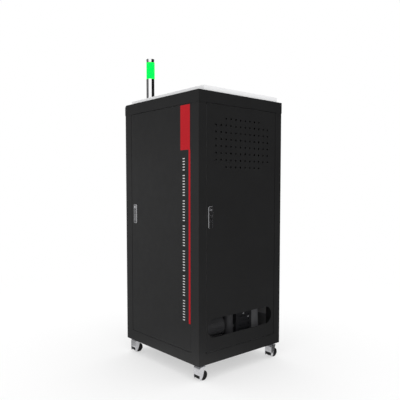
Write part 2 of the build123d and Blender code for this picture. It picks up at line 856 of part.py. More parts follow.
pump_across = body_y - pump_rear_space - pump_casing_depth / 2
pump_axis_level = floor_top + pump_axis_above_floor
motor_end = cabinet_width / 2 - motor_from_side
motor_start = motor_end - motor_length
casing_x1 = motor_start - coupling_length
casing_x0 = casing_x1 - pump_casing_length
casing_y0 = pump_across - pump_casing_depth / 2
casing_y1 = pump_across + pump_casing_depth / 2
casing_bottom = floor_top + pump_foot_height
casing_top = casing_bottom + pump_casing_height
pump_inlet_level = casing_top + inlet_boss_height
line_x = (casing_x0 + casing_x1) / 2
line_across = pump_across - line_in_from_pump_middle


def pump_casing():
    """Pump block with cooling fins on its rear face, an inlet boss and the motor's coupling neck."""
    casing = block(casing_x0, casing_x1, casing_y0, casing_y1, casing_bottom, casing_top)
    casing = fillet(casing.edges().filter_by(Axis.X), pump_casing_softening)
    for number in range(pump_fin_count):
        low = casing_bottom + pump_fin_base + number * pump_fin_pitch
        ends = (casing_x0 + pump_fin_margin, casing_x1 - pump_fin_margin)
        casing -= block(*ends, casing_y1 - pump_fin_depth, casing_y1 + overshoot, low, low + pump_fin_groove)
    boss_radius = line_radius + inlet_boss_margin
    casing += upright(boss_radius, line_x, line_across, casing_top - overshoot, pump_inlet_level)
    return casing + along_x(coupling_radius, pump_across, pump_axis_level, casing_x1 - overshoot, motor_start)


def pump_motor():
    """Ribbed motor barrel with a domed fan cowl and a terminal box on top."""
    z = pump_axis_level
    barrel_radius = motor_radius - motor_rib_height
    motor = along_x(barrel_radius, pump_across, z, motor_start, motor_end)
    x0 = motor_start + motor_rib_start
    half = motor_rib_width / 2
    rib = block(x0, x0 + motor_rib_length, -half, half, barrel_radius - overshoot, motor_radius)
    for number in range(motor_rib_count):
        motor += Pos(0, pump_across, z) * Rot(number * 360 / motor_rib_count, 0, 0) * rib
    cowl = along_x(motor_radius, pump_across, z, motor_end - motor_cowl_length, motor_end)
    motor += fillet(cowl.faces().sort_by(Axis.X)[-1].edges(), motor_cowl_softening)
    x0 = motor_start + terminal_from_flange
    y0 = pump_across - terminal_depth / 2
    terminal = block(x0, x0 + terminal_length, y0, y0 + terminal_depth, z, z + motor_radius + terminal_height)
    return motor + chamfer(terminal.edges().filter_by(Axis.Z), terminal_softening)


def pump_feet():
    """Four rubber feet between the floor sheet and the pump block."""
    feet = []
    for x in (casing_x0 + pump_foot_inset, casing_x1 - pump_foot_inset):
        for y in (casing_y0 + pump_foot_inset, casing_y1 - pump_foot_inset):
            feet.append(upright(pump_foot_radius, x, y, floor_top, casing_bottom))
    return feet


def oil_canister():
    """Upright oil return canister with a clamp band, piped into the pump block's end."""
    x = casing_x1 + canister_from_casing + canister_radius
    y = casing_y1 - canister_radius
    top = casing_bottom + canister_height
    canister = upright(canister_radius, x, y, casing_bottom, top)
    canister = chamfer(canister.edges().group_by(Axis.Z)[-1], canister_softening)
    band_top = top - canister_band_below_top
    canister += upright(canister_band_radius, x, y, band_top - canister_band_height, band_top)
    return canister + along_x(canister_pipe_radius, y, top - canister_pipe_below_top, casing_x1, x)


def mist_filter():
    """Oil mist filter bolted to the pump block's end, with softened edges."""
    x0 = casing_x0 - filter_length
    y0 = pump_across - filter_depth / 2
    can = block(x0, casing_x0, y0, y0 + filter_depth, floor_top, floor_top + filter_height)
    return chamfer(can.edges().filter_by(Axis.Z) + can.edges().group_by(Axis.Z)[-1], filter_softening)


def vacuum_line():
    """Flanged line with a bellows, up from the pump and round an elbow into the chamber."""
    base = pump_inlet_level
    bend_y = line_across - line_bend
    line = upright(flange_radius, line_x, line_across, base, base + flange_thickness)
    line += upright(line_radius, line_x, line_across, base, chamber_level - line_bend)
    line += Pos(line_x, line_across, base + flange_thickness + line_straight) * bellows()
    line += Pos(line_x, bend_y, chamber_level - line_bend) * Rot(0, -90, 0) * elbow_bend()
    line += along_y(line_radius, line_x, chamber_level, chamber_rear, bend_y)
    return line + along_y(flange_radius, line_x, chamber_level, chamber_rear, chamber_rear + flange_thickness)


def bellows():
    """Folded stretch of the line, turned from a zigzag wall that starts at level 0."""
    wall = [(0, 0)]
    for number in range(bellows_count):
        level = number * bellows_pitch
        wall.append((line_radius, level))
        wall.append((bellows_radius, level + bellows_pitch / 2))
    top = bellows_count * bellows_pitch
    wall += [(line_radius, top), (0, top)]
    return revolve(Plane.XZ * make_face(Polyline(*wall, close=True)), Axis.Z)


def elbow_bend():
    """Quarter turn of the line, drawn about the z axis."""
    section = Plane.XZ * (Pos(line_bend, 0) * Circle(line_radius))
    return revolve(section, Axis.Z, 90)


def generator():
    """Plasma generator standing on the floor sheet, with a softened case."""
    y0 = -body_y + panel_sheet + generator_front_gap
    half = generator_width / 2
    case = block(-half, half, y0, y0 + generator_depth, floor_top, floor_top + generator_height)
    return fillet(case.edges().filter_by(Axis.Y), generator_softening)


plate_bottom = castor_height - castor_plate_sheet
cup_bottom = plate_bottom - castor_cup_height
crown_top = cup_bottom - castor_crown_gap
hood_half = castor_hood_width / 2
hood_front = castor_wheel_radius - castor_trail + castor_hood_gap + castor_hood_sheet
hood_back = -castor_trail - castor_hood_rear
wheel_inner = castor_web / 2 + castor_web_gap
wheel_outer = wheel_inner + castor_wheel_width


def castor_plate(x, y):
    """Top plate with the swivel's bearing cup and kingpin."""
    half = castor_plate_size / 2
    plate = block(x - half, x + half, y - half, y + half, plate_bottom, castor_height)
    plate += upright(castor_cup_radius, x, y, cup_bottom, plate_bottom)
    return plate + upright(castor_pin_radius, x, y, crown_top - castor_pin_length, plate_bottom)


def castor_fork(x, y):
    """Cast hood over the front of both wheels, with side skirts and a drilled web between the wheels."""
    axle = Pos(-castor_trail, castor_wheel_radius)
    shell = Polyline(
        (hood_front, castor_hood_foot),
        (hood_front, crown_top),
        (hood_back, crown_top),
        (hood_back, castor_wheel_radius),
        (hood_front - castor_hood_sheet, castor_hood_foot),
        close=True,
    )
    shell = make_face(shell) - axle * Circle(castor_wheel_radius + castor_hood_gap)
    tip = (hood_front - castor_hood_sheet, castor_hood_foot)
    skirt_edge = ThreePointArc((hood_back, crown_top), (castor_skirt_waist, castor_skirt_waist_level), tip)
    skirt_rim = Polyline(tip, (hood_front, castor_hood_foot), (hood_front, crown_top), (hood_back, crown_top))
    skirt = make_face(skirt_edge + skirt_rim)
    crown = Rectangle(hood_front - hood_back, castor_hood_sheet)
    crown = Pos((hood_front + hood_back) / 2, crown_top - castor_hood_sheet / 2) * crown
    web = make_hull((crown + axle * Circle(castor_hub_boss)).edges())
    fork = plate_y(shell, -hood_half, hood_half)
    fork += plate_y(web, -castor_web / 2, castor_web / 2)
    for side in (-1, 1):
        faces = sorted([side * hood_half, side * (hood_half - castor_skirt_sheet)])
        fork += plate_y(skirt, faces[0], faces[1])
    front_corner = fork.edges().filter_by(Axis.Y).group_by(Axis.X)[-1].group_by(Axis.Z)[-1]
    fork = fillet(front_corner, castor_hood_corner)
    hub = castor_hub_radius + running_clearance
    fork -= along_y(hub, -castor_trail, castor_wheel_radius, -castor_web, castor_web)
    pin_bore_end = crown_top - castor_pin_length - castor_pin_end_gap
    fork -= upright(castor_pin_radius + running_clearance, 0, 0, pin_bore_end, crown_top + overshoot)
    return Pos(x, y, 0) * fork


def castor_wheel(x, y):
    """Two dished discs on one hub that runs in the web."""
    wheel = along_y(castor_hub_radius, 0, 0, -wheel_inner - overshoot, wheel_inner + overshoot)
    for side in (-1, 1):
        faces = sorted([side * wheel_inner, side * wheel_outer])
        disc = along_y(castor_wheel_radius, 0, 0, faces[0], faces[1])
        rim = disc.edges().filter_by(GeomType.CIRCLE).sort_by(lambda edge: side * edge.center().Y)[-1]
        wheel += chamfer(rim, castor_wheel_softening)
        dish = sorted([side * (wheel_outer - castor_dish_depth), side * (wheel_outer + overshoot)])
        wheel -= along_y(castor_dish_radius, 0, 0, *dish) - along_y(castor_cap_radius, 0, 0, *dish)
    return Pos(x - castor_trail, y, castor_wheel_radius) * wheel


corner_names = {
    "front_left": (-1, -1),
    "front_right": (1, -1),
    "rear_left": (-1, 1),
    "rear_right": (1, 1),
}


def build_cabinet():
    save("base_pan", base_pan())
    save("top_cap", top_cap())
    save("white_slab", white_slab())
    save("left_panel", left_panel())
    save("left_rail", left_rail())
    save("front_panel", front_panel())
    save("front_lower_panel", front_lower_panel())
    for name, (side_x, side_y) in corner_names.items():
        save(f"post_{name}", corner_post(side_x, side_y))


def build_lamp():
    save("lamp_tube", lamp_tube())
    save("lamp_lens", lamp_lens())
    save("lamp_end", lamp_end())


def build_doors():
    side_skin = door_skin(side_door_width, side_door_width - handle_side_inset)
    save_door("side", side_door_place, side_door_width, handle_side_inset, side_skin)
    save_door("rear", rear_door_place, rear_door_width, handle_rear_inset, rear_door_skin())
    save("vent_plate", rear_door_place * vent_plate())
    save("fan_housing", rear_door_place * fan_housing())
    save("fan_rotor", rear_door_place * fan_rotor())


def build_chamber():
    save("chamber_deck", chamber_deck())
    save("chamber_body", chamber_body())
    save("chamber_seal", chamber_seal())
    save("product_tray", product_tray())
    save("chamber_door", chamber_door())
    save("chamber_hinges", *chamber_hinges())
    save("chamber_window", chamber_window())
    save("chamber_latch", chamber_latch())


def build_controls():
    save("touch_screen", touch_screen())
    save("control_collars", control_collar(stop_level), control_collar(start_level))
    save("emergency_stop", push_head(stop_level, stop_head_radius, stop_head_height, stop_head_softening))
    save("start_button", push_head(start_level, start_head_radius, start_head_height, start_head_softening))


def build_pump():
    save("pump_casing", pump_casing())
    save("pump_motor", pump_motor())
    save("pump_feet", *pump_feet())
    save("oil_canister", oil_canister())
    save("mist_filter", mist_filter())
    save("vacuum_line", vacuum_line())
    save("generator", generator())


def build_castors():
    plates = []
    for name, (side_x, side_y) in corner_names.items():
        plates.append(castor_plate(side_x * castor_x, side_y * castor_y))
        save(f"castor_fork_{name}", castor_fork(side_x * castor_x, side_y * castor_y))
        save(f"castor_wheel_{name}", castor_wheel(side_x * castor_x, side_y * castor_y))
    save("castor_plates", *plates)


build_cabinet()
build_lamp()
build_doors()
build_chamber()
build_controls()
build_pump()
build_castors()
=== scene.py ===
import math

import bpy
import numpy as np
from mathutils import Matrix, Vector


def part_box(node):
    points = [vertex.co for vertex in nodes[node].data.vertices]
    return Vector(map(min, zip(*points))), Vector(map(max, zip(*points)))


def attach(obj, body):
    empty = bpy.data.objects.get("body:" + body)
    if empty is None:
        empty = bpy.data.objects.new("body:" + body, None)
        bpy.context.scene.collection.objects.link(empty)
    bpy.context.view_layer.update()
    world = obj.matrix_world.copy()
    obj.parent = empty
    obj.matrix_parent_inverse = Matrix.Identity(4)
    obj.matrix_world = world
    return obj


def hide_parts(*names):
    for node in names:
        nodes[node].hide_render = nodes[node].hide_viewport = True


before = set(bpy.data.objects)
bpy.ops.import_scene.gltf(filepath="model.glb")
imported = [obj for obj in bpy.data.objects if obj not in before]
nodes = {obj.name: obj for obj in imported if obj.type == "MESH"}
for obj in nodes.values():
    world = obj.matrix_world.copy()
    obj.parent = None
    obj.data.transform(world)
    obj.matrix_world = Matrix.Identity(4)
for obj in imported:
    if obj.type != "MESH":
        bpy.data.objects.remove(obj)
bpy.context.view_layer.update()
print("frame loaded:", len(nodes), "nodes")


# Surfaces. Each gives a skin: its points, and its faces as whole arrays of point numbers.

square = np.array([(1, 1), (-1, 1), (-1, -1), (1, -1)])


def gridFaces(rows, columns, wrap):
    # quad (i, j) joins grid points (i, j), (i, j+1), (i+1, j+1), (i+1, j); wrap closes the columns
    i, j = np.meshgrid(np.arange(rows - 1), np.arange(columns if wrap else columns - 1), indexing="ij")
    k = (j + 1) % columns
    here, beyond = i * columns, (i + 1) * columns
    quads = np.stack([here + j, here + k, beyond + k, beyond + j], axis=-1)
    return quads.reshape(-1, 4)


def closedSkin(grid):
    # a stack of rings, closed at both ends by a fan round the end ring's middle
    rows, columns = grid.shape[:2]
    points = np.vstack([grid.reshape(-1, 3), grid[0].mean(axis=0), grid[-1].mean(axis=0)])
    j = np.arange(columns)
    k = (j + 1) % columns
    tail = (rows - 1) * columns
    firstFan = np.stack([np.full(columns, rows * columns), k, j], axis=-1)
    lastFan = np.stack([np.full(columns, rows * columns + 1), tail + j, tail + k], axis=-1)
    return points, [gridFaces(rows, columns, True), firstFan, lastFan]


def loopSkin(grid):
    # a stack of rings whose last ring joins the first
    rows, columns = grid.shape[:2]
    return grid.reshape(-1, 3), [gridFaces(rows + 1, columns, True) % (rows * columns)]


def axesFor(normal):
    # two unit vectors square to the normal, so that across x up = normal
    normal = np.asarray(normal, float)
    guide = np.array([0.0, 0.0, 1.0]) if abs(normal[2]) < 0.9 else np.array([0.0, 1.0, 0.0])
    across = np.cross(guide, normal)
    across /= np.linalg.norm(across)
    return across, np.cross(normal, across), normal


def rays(angle):
    return np.stack([np.cos(angle), np.sin(angle)], axis=-1)


def circleAt(count, phase=0.0):
    return rays(np.linspace(0, 2 * np.pi, count, endpoint=False) + phase)


def upright(flat):
    # points (x, z) as (x, 0, z)
    return np.column_stack([flat[:, 0], np.zeros(len(flat)), flat[:, 1]])


def turned(profile, centre, normal, count):
    # ring (r, h) of the profile: centre + r (cos a across + sin a up) + h normal, for a round the circle
    across, up, along = axesFor(normal)
    profile = np.asarray(profile, float)
    circle = circleAt(count) @ np.stack([across, up])
    return np.asarray(centre) + profile[:, 0, None, None] * circle + profile[:, 1, None, None] * along


def lathe(profile, centre, normal, count=48):
    # profile from the foot up along the outside, with a flat end at its first and its last ring
    return closedSkin(turned(profile, centre, normal, count))


def latheRing(profile, centre, normal, count=48):
    # closed profile, counter-clockwise in r and h: a ring-shaped solid with no ends
    return loopSkin(turned(profile, centre, normal, count))


def roundOutline(halfWide, halfHigh, radius, count=6):
    # rounded rectangle: four quarter arcs of the corner radius, each moved out to its own corner
    turn = np.linspace(0, np.pi / 2, count)
    angle = turn + np.arange(4)[:, None] * np.pi / 2
    middle = square[:, None] * np.array([halfWide - radius, halfHigh - radius])
    return (middle + radius * rays(angle)).reshape(-1, 2)


def plate(outline, centre, normal, thick, bevel):
    # outline at levels 0, bevel, thick - bevel and thick, drawn in by the bevel at both faces
    across, up, along = axesFor(normal)
    outline = np.asarray(outline, float)
    inner = outline * (1 - bevel / np.abs(outline).max(axis=0))
    flats = np.stack([inner, outline, outline, inner]) @ np.stack([across, up])
    levels = np.array([0.0, bevel, thick - bevel, thick])
    return closedSkin(np.asarray(centre) + flats + levels[:, None, None] * along)


def trim(outline, profile, centre, normal):
    # closed profile (outward, level), counter-clockwise, carried round a closed outline square to its run
    across, up, along = axesFor(normal)
    outline = np.asarray(outline, float)
    profile = np.asarray(profile, float)
    run = np.roll(outline, -1, axis=0) - np.roll(outline, 1, axis=0)
    outward = np.stack([run[:, 1], -run[:, 0]], axis=-1) / np.linalg.norm(run, axis=1, keepdims=True)
    flat = outline + profile[:, :1, None] * outward
    grid = flat @ np.stack([across, up]) + profile[:, 1, None, None] * along
    return loopSkin(np.asarray(centre) + grid)


def tubeAlong(path, radius, count=8, closed=False):
    # circle of the radius carried along the path, square to the mean direction of the runs at each point
    path = np.asarray(path, float)
    ahead = np.roll(path, -1, axis=0) - path
    behind = path - np.roll(path, 1, axis=0)
    if not closed:
        ahead[-1], behind[0] = behind[-1], ahead[0]
    tangent = ahead / np.linalg.norm(ahead, axis=1, keepdims=True)
    tangent = tangent + behind / np.linalg.norm(behind, axis=1, keepdims=True)
    tangent /= np.linalg.norm(tangent, axis=1, keepdims=True)
    side = np.cross(tangent, np.array([0.31, 0.52, 0.79]))
    side /= np.linalg.norm(side, axis=1, keepdims=True)
    lift = np.cross(tangent, side)
    x, y = circleAt(count).T[..., None]
    grid = path[:, None] + radius * (x * side[:, None] + y * lift[:, None])
    return loopSkin(grid) if closed else closedSkin(grid)


def repeated(skin, offsets):
    # one skin at many places: every copy's face numbers start after the copy before it
    points, faces = skin
    offsets = np.asarray(offsets, float)
    start = np.arange(len(offsets))[:, None, None] * len(points)
    moved = (points[None] + offsets[:, None]).reshape(-1, 3)
    return moved, [(block[None] + start).reshape(-1, block.shape[1]) for block in faces]


def together(*skins):
    # several skins as one
    start = np.cumsum([0] + [len(skin[0]) for skin in skins[:-1]])
    return np.vstack([skin[0] for skin in skins]), [b + n for skin, n in zip(skins, start) for b in skin[1]]


def addObject(name, data):
    item = bpy.data.objects.new(name, data)
    bpy.context.scene.collection.objects.link(item)
    return item


def putPiece(name, skin, material, body, sharp=35):
    # one mesh object with its material, shaded smooth up to the sharp angle, riding on its body
    points, faces = skin
    mesh = bpy.data.meshes.new(name)
    mesh.from_pydata(points.tolist(), [], [row for block in faces for row in block.tolist()])
    mesh.polygons.foreach_set("use_smooth", np.ones(len(mesh.polygons), bool))
    mesh.set_sharp_from_angle(angle=math.radians(sharp))
    mesh.materials.append(material)
    mesh.update()
    piece = addObject(name, mesh)
    if body:
        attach(piece, body)
    return piece


def corners(node):
    low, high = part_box(node)
    return np.array(low), np.array(high)


# Materials: each reads Object coordinates, in metres

def newMaterial(name):
    material = bpy.data.materials.new(name)
    material.use_nodes = True
    tree = material.node_tree
    place = tree.nodes.new("ShaderNodeTexCoord").outputs["Object"]
    return material, tree, tree.nodes["Principled BSDF"], place


def feed(tree, node, inputs):
    # links a socket to the input it is listed for; any other value becomes that input's own
    for name, value in inputs.items():
        if isinstance(value, bpy.types.NodeSocket):
            tree.links.new(value, node.inputs[name])
        else:
            node.inputs[name].default_value = value
    return node


def addNode(tree, kind, inputs):
    return feed(tree, tree.nodes.new(kind), inputs)


def noise(tree, place, scale, detail=3.0, stretch=(1, 1, 1)):
    # noise of the point times the stretch, so that a small number along an axis draws it out there
    point = addNode(tree, "ShaderNodeMapping", {"Scale": stretch, "Vector": place}).outputs["Vector"]
    values = {"Scale": scale, "Detail": detail, "Vector": point}
    return addNode(tree, "ShaderNodeTexNoise", values).outputs["Fac"]


def spread(tree, value, low, high):
    # carries noise from about 0.3..0.7 to low..high
    values = {"From Min": 0.3, "From Max": 0.7, "To Min": low, "To Max": high, "Value": value}
    return addNode(tree, "ShaderNodeMapRange", values).outputs["Result"]


def tint(tree, shader, value, dark, light):
    mix = tree.nodes.new("ShaderNodeMix")
    mix.data_type = "RGBA"
    feed(tree, mix, {"A": (*dark, 1), "B": (*light, 1), "Factor": value})
    feed(tree, shader, {"Base Color": mix.outputs["Result"]})


def bump(tree, shader, value, strength, distance):
    node = addNode(tree, "ShaderNodeBump", {"Strength": strength, "Distance": distance, "Height": value})
    feed(tree, shader, {"Normal": node.outputs["Normal"]})


def finish(name, color, vary=0.12, rough=(0.45, 0.6), metal=0.0, grain=900, depth=0.00004, patch=6,
           stretch=(1, 1, 1), strength=0.3, specular=0.5, coat=0.0):
    # colour wanders by the share vary over patches, roughness between its two ends; grain gives the bump
    material, tree, shader, place = newMaterial(name)
    color = np.asarray(color, float)
    patches = spread(tree, noise(tree, place, patch), 0, 1)
    tint(tree, shader, patches, color * (1 - vary), color * (1 + vary))
    wear = spread(tree, noise(tree, place, patch * 3.7, 4, stretch), *rough)
    bump(tree, shader, noise(tree, place, grain, 2, stretch), strength, depth)
    feed(tree, shader, {"Roughness": wear, "Metallic": metal, "Specular IOR Level": specular,
                        "Coat Weight": coat})
    return material


def glow(name, color, strength):
    material, tree, shader, place = newMaterial(name)
    color = np.asarray(color, float)
    tint(tree, shader, spread(tree, noise(tree, place, 40), 0, 1), color * 0.9, color)
    feed(tree, shader, {"Roughness": 0.25, "Specular IOR Level": 0.06, "Emission Color": (*color, 1),
                        "Emission Strength": strength})
    return material


def clearGlass(name):
    material, tree, shader, place = newMaterial(name)
    haze = spread(tree, noise(tree, place, 30), 0.0, 0.05)
    feed(tree, shader, {"Base Color": (0.92, 0.96, 0.97, 1), "Transmission Weight": 1.0, "IOR": 1.47,
                        "Roughness": haze})
    return material


powderBlack = finish("powderBlack", (0.0138, 0.0138, 0.0142), vary=0.05, rough=(0.4, 0.48), grain=1400,
                     depth=0.00003, strength=0.25, specular=0.3)
slabWhite = finish("slabWhite", (0.82, 0.82, 0.83), vary=0.01, rough=(0.3, 0.38), grain=500, depth=0.00001)
lampChrome = finish("lampChrome", (0.93, 0.93, 0.94), vary=0.03, rough=(0.04, 0.1), metal=1.0, grain=300,
                    depth=0.000005)
castSilver = finish("castSilver", (0.7, 0.7, 0.72), vary=0.06, rough=(0.22, 0.34), metal=1.0, grain=800,
                    depth=0.00003, patch=60)
zincPlate = finish("zincPlate", (0.5, 0.51, 0.53), vary=0.1, rough=(0.24, 0.4), metal=1.0, grain=700,
                   depth=0.00002, patch=60)
buttonChrome = finish("buttonChrome", (0.8, 0.8, 0.82), vary=0.03, rough=(0.06, 0.15), metal=1.0,
                      grain=600, depth=0.000005)
satinChrome = finish("satinChrome", (0.62, 0.62, 0.64), vary=0.04, rough=(0.2, 0.3), metal=1.0,
                     depth=0.00001, patch=80)
tyreBlack = finish("tyreBlack", (0.008, 0.008, 0.009), vary=0.2, rough=(0.5, 0.7), grain=1200,
                   depth=0.00005, patch=90, specular=0.3)
hubBlack = finish("hubBlack", (0.01, 0.01, 0.011), vary=0.08, grain=1500, depth=0.00003, patch=70,
                  specular=0.2)
fanPlastic = finish("fanPlastic", (0.02, 0.02, 0.021), vary=0.1, rough=(0.5, 0.62), grain=1500,
                    depth=0.00003, patch=40)
fanBlack = finish("fanBlack", (0.004, 0.004, 0.004), vary=0.1, rough=(0.5, 0.62), grain=1500,
                  depth=0.00003, patch=40, specular=0.08)
milledAluminium = finish("milledAluminium", (0.66, 0.67, 0.68), vary=0.05, rough=(0.25, 0.42), metal=1.0,
                         grain=500, depth=0.00002, patch=12, stretch=(1, 1, 0.06))
sealRubber = finish("sealRubber", (0.018, 0.018, 0.018), vary=0.15, rough=(0.65, 0.8), grain=1000,
                    patch=50)
pumpPaint = finish("pumpPaint", (0.016, 0.016, 0.018), rough=(0.4, 0.55), grain=600, depth=0.00006,
                   patch=25, specular=0.12)
motorPaint = finish("motorPaint", (0.045, 0.045, 0.048), vary=0.1, rough=(0.35, 0.5), grain=600,
                    depth=0.00005, patch=25, specular=0.3)
# painted light: a pale grey that stands in for light reaching the dim inside of the cabinet, worn by the
# plates made below
paintedLightGrey = finish("paintedLightGrey", (0.15, 0.15, 0.155), vary=0.08, rough=(0.8, 0.9), depth=0.0001, patch=30)
gapGrey = finish("gapGrey", (0.04, 0.04, 0.041), vary=0.05, rough=(0.5, 0.6), grain=1000, depth=0.00003,
                 patch=50)
handleSatin = finish("handleSatin", (0.34, 0.34, 0.35), vary=0.05, rough=(0.22, 0.3), metal=1.0,
                     depth=0.00001, patch=80)
canisterGrey = finish("canisterGrey", (0.04, 0.04, 0.043), vary=0.06, rough=(0.4, 0.5), patch=30,
                      specular=0.2)
# the rail's light grey is partly its own grey tone, partly painted light that brightens it for the
# cabinet's dim inside
railPaintedLightGrey = finish("railPaintedLightGrey", (0.3, 0.3, 0.31), vary=0.05, rough=(0.4, 0.5), depth=0.00003, patch=20)
filterGrey = finish("filterGrey", (0.105, 0.105, 0.11), vary=0.06, rough=(0.4, 0.5), patch=20)
lineSteel = finish("lineSteel", (0.55, 0.55, 0.56), vary=0.05, rough=(0.18, 0.3), metal=1.0, grain=400,
                   depth=0.00002, patch=30, stretch=(1, 1, 4))
stopRed = finish("stopRed", (0.55, 0.008, 0.008), vary=0.06, rough=(0.25, 0.35), depth=0.00002, coat=0.3)
startGreen = finish("startGreen", (0.02, 0.36, 0.07), vary=0.06, rough=(0.25, 0.35), depth=0.00002,
                    coat=0.3)
bandRed = finish("bandRed", (0.4, 0.008, 0.014), vary=0.05, rough=(0.5, 0.6), grain=1500, depth=0.00001,
                 specular=0.08)
bandPale = finish("bandPale", (0.55, 0.54, 0.54), vary=0.04, rough=(0.4, 0.5), grain=1500, depth=0.00001)
ringYellow = finish("ringYellow", (0.75, 0.5, 0.01), vary=0.05, rough=(0.35, 0.45), depth=0.00002)
screwSteel = finish("screwSteel", (0.62, 0.62, 0.64), vary=0.1, rough=(0.16, 0.3), metal=1.0,
                    depth=0.00002, patch=120)
screwBlack = finish("screwBlack", (0.02, 0.02, 0.021), vary=0.15, rough=(0.3, 0.42), grain=1200,
                    depth=0.00003, patch=120)
lensGreen = glow("lensGreen", (0.0, 0.9, 0.062), 0.9)
screenGlow = glow("screenGlow", (0.02, 0.09, 0.16), 0.8)
screenMark = glow("screenMark", (0.1, 0.55, 0.75), 0.9)
screenPale = glow("screenPale", (0.55, 0.6, 0.62), 0.5)
windowGlass = clearGlass("windowGlass")

nodeGroups = (
    (powderBlack, "base_pan top_cap left_panel front_panel front_lower_panel side_door rear_door "
                  "vent_plate side_door_frame rear_door_frame side_door_pivots rear_door_pivots"),
    # the rail's grey is partly painted light for the dim inside
    (railPaintedLightGrey, "left_rail"),
    (slabWhite, "white_slab"),
    (lampChrome, "lamp_tube lamp_end"),
    (lensGreen, "lamp_lens"),
    (zincPlate, "side_latch_cam rear_latch_cam castor_plates chamber_deck"),
    (handleSatin, "side_handle_case rear_handle_case side_handle_lever rear_handle_lever"),
    (buttonChrome, "side_handle_button rear_handle_button chamber_latch"),
    (satinChrome, "chamber_hinges"),
    (fanBlack, "fan_housing fan_rotor"),
    (fanPlastic, "control_collars touch_screen"),
    (milledAluminium, "chamber_body chamber_door product_tray"),
    (sealRubber, "chamber_seal pump_feet"),
    (windowGlass, "chamber_window"),
    (stopRed, "emergency_stop"),
    (startGreen, "start_button"),
    (pumpPaint, "pump_casing"),
    (motorPaint, "pump_motor"),
    (filterGrey, "mist_filter generator"),
    (canisterGrey, "oil_canister"),
    (lineSteel, "vacuum_line"),
)
nodeFinish = {name: material for material, names in nodeGroups for name in names.split()}
for name, node in nodes.items():
    material = nodeFinish.get(name)
    if material is None:
        material = powderBlack if name.startswith("post") else castSilver
    for place in node.material_slots:
        place.material = material
print("finishes on the CAD nodes")

capHigh = corners("top_cap")[1]
sideHigh = corners("side_door")[1]
bodyFoot = corners("base_pan")[0][2]


# Red block and stripe on the side door, with a row of plain ticks beside them

band = {
    # near and far end from the rear corner, low and high end over the foot
    "block": (0.070, 0.147, 1.107, 1.335), "stripe": (0.067, 0.081, 0.209, 1.107),
    "thick": 0.0004, "bevel": 0.0001, "corner": 0.0015,
    "tickLow": 0.222, "tickHigh": 1.085, "tickPitch": 0.0145, "tickHalf": 0.0085, "tickWide": 0.005,
    "tickAcross": 0.1205, "tickThick": 0.0003, "restEvery": 9,
}


def bandPlate(near, far, low, high):
    centre = (sideHigh[0], capHigh[1] - (near + far) / 2, bodyFoot + (low + high) / 2)
    outline = roundOutline((far - near) / 2, (high - low) / 2, band["corner"], 4)
    return plate(outline, centre, (1, 0, 0), band["thick"], band["bevel"])


def makeBand():
    plates = together(bandPlate(*band["block"]), bandPlate(*band["stripe"]))
    putPiece("red_band", plates, bandRed, "side_door")
    tick = np.arange(int((band["tickHigh"] - band["tickLow"]) / band["tickPitch"]))
    tick = tick[tick % band["restEvery"] != band["restEvery"] - 1]  # a rest in the row
    outline = roundOutline(band["tickHalf"], band["tickWide"] / 2, 0.0006, 3)
    centre = (sideHigh[0], capHigh[1] - band["tickAcross"], bodyFoot + band["tickLow"])
    one = plate(outline, centre, (1, 0, 0), band["tickThick"], 0.00008)
    offsets = np.stack([0 * tick, 0 * tick, tick * band["tickPitch"]], axis=-1)
    putPiece("band_ticks", repeated(one, offsets), bandPale, "side_door")


makeBand()
print("band on the side door")


# Signal lamp: fluted lens, thin gaskets at its two ends, and the screws of the foot

lamp = {
    "flutes": 36, "fluteDepth": 0.0006, "rows": 24, "columns": 288, "shoulder": 0.003,
    "lensDrop": (0.008, 0.0095), "lensTrim": 0.0008,  # the ends come down, and the radius shrinks, by these
    "gasketHigh": 0.0016, "gasketProud": 0.0003, "gasketDeep": 0.0015,
    "screwRing": 0.0287, "screwRadius": 0.0024, "screwHigh": 0.0014, "footHigh": 0.005,
}


def lensSpan():
    low, high = corners("lamp_lens")
    radius = (high[0] - low[0]) / 2 - lamp["lensTrim"]
    return (low + high) / 2, radius, low[2] - lamp["lensDrop"][0], high[2] - lamp["lensDrop"][1]


def flutedLens():
    # radius R - depth |sin(n a / 2)| at angle a, eased to a plain shoulder at both ends
    centre, radius, foot, top = lensSpan()
    centre[2] = (foot + top) / 2
    half = (top - foot) / 2
    angle = np.linspace(0, 2 * np.pi, lamp["columns"], endpoint=False)
    height = np.linspace(-half, half, lamp["rows"])
    ease = np.clip((half - np.abs(height)) / lamp["shoulder"], 0, 1)[:, None]
    flute = np.abs(np.sin(lamp["flutes"] * angle / 2))
    ring = radius - lamp["fluteDepth"] * (1 - ease) - lamp["fluteDepth"] * flute * ease
    level = np.broadcast_to(height[:, None], ring.shape)
    grid = centre + np.stack([ring * np.cos(angle), ring * np.sin(angle), level], axis=-1)
    return closedSkin(grid)


def makeLamp():
    lens = putPiece("lens_fluted", flutedLens(), lensGreen, "cabinet")
    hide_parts("lamp_lens")
    middle, radius, foot, top = lensSpan()
    collar = [(radius - 0.0008, top - 0.002), (radius - 0.0008, corners("lamp_lens")[1][2])]
    collarSkin = lathe(collar, (middle[0], middle[1], 0), (0, 0, 1), 64)
    putPiece("lens_collar", collarSkin, lampChrome, "cabinet")
    inner, outer, half = radius - lamp["gasketDeep"], radius + lamp["gasketProud"], lamp["gasketHigh"] / 2
    profile = [(outer, -half), (outer, half), (inner, half), (inner, -half)]
    rings = [latheRing(profile, (middle[0], middle[1], level), (0, 0, 1), 64) for level in (foot, top)]
    putPiece("lamp_gaskets", together(*rings), sealRubber, "cabinet")
    foot = corners("white_slab")[1][2] + lamp["footHigh"]
    places = np.column_stack([lamp["screwRing"] * circleAt(3, 0.5), np.zeros(3)])
    head = screwHead((middle[0], middle[1], foot), (0, 0, 1), lamp["screwRadius"], lamp["screwHigh"])
    putPiece("lamp_screws", repeated(head, places), screwSteel, "cabinet")


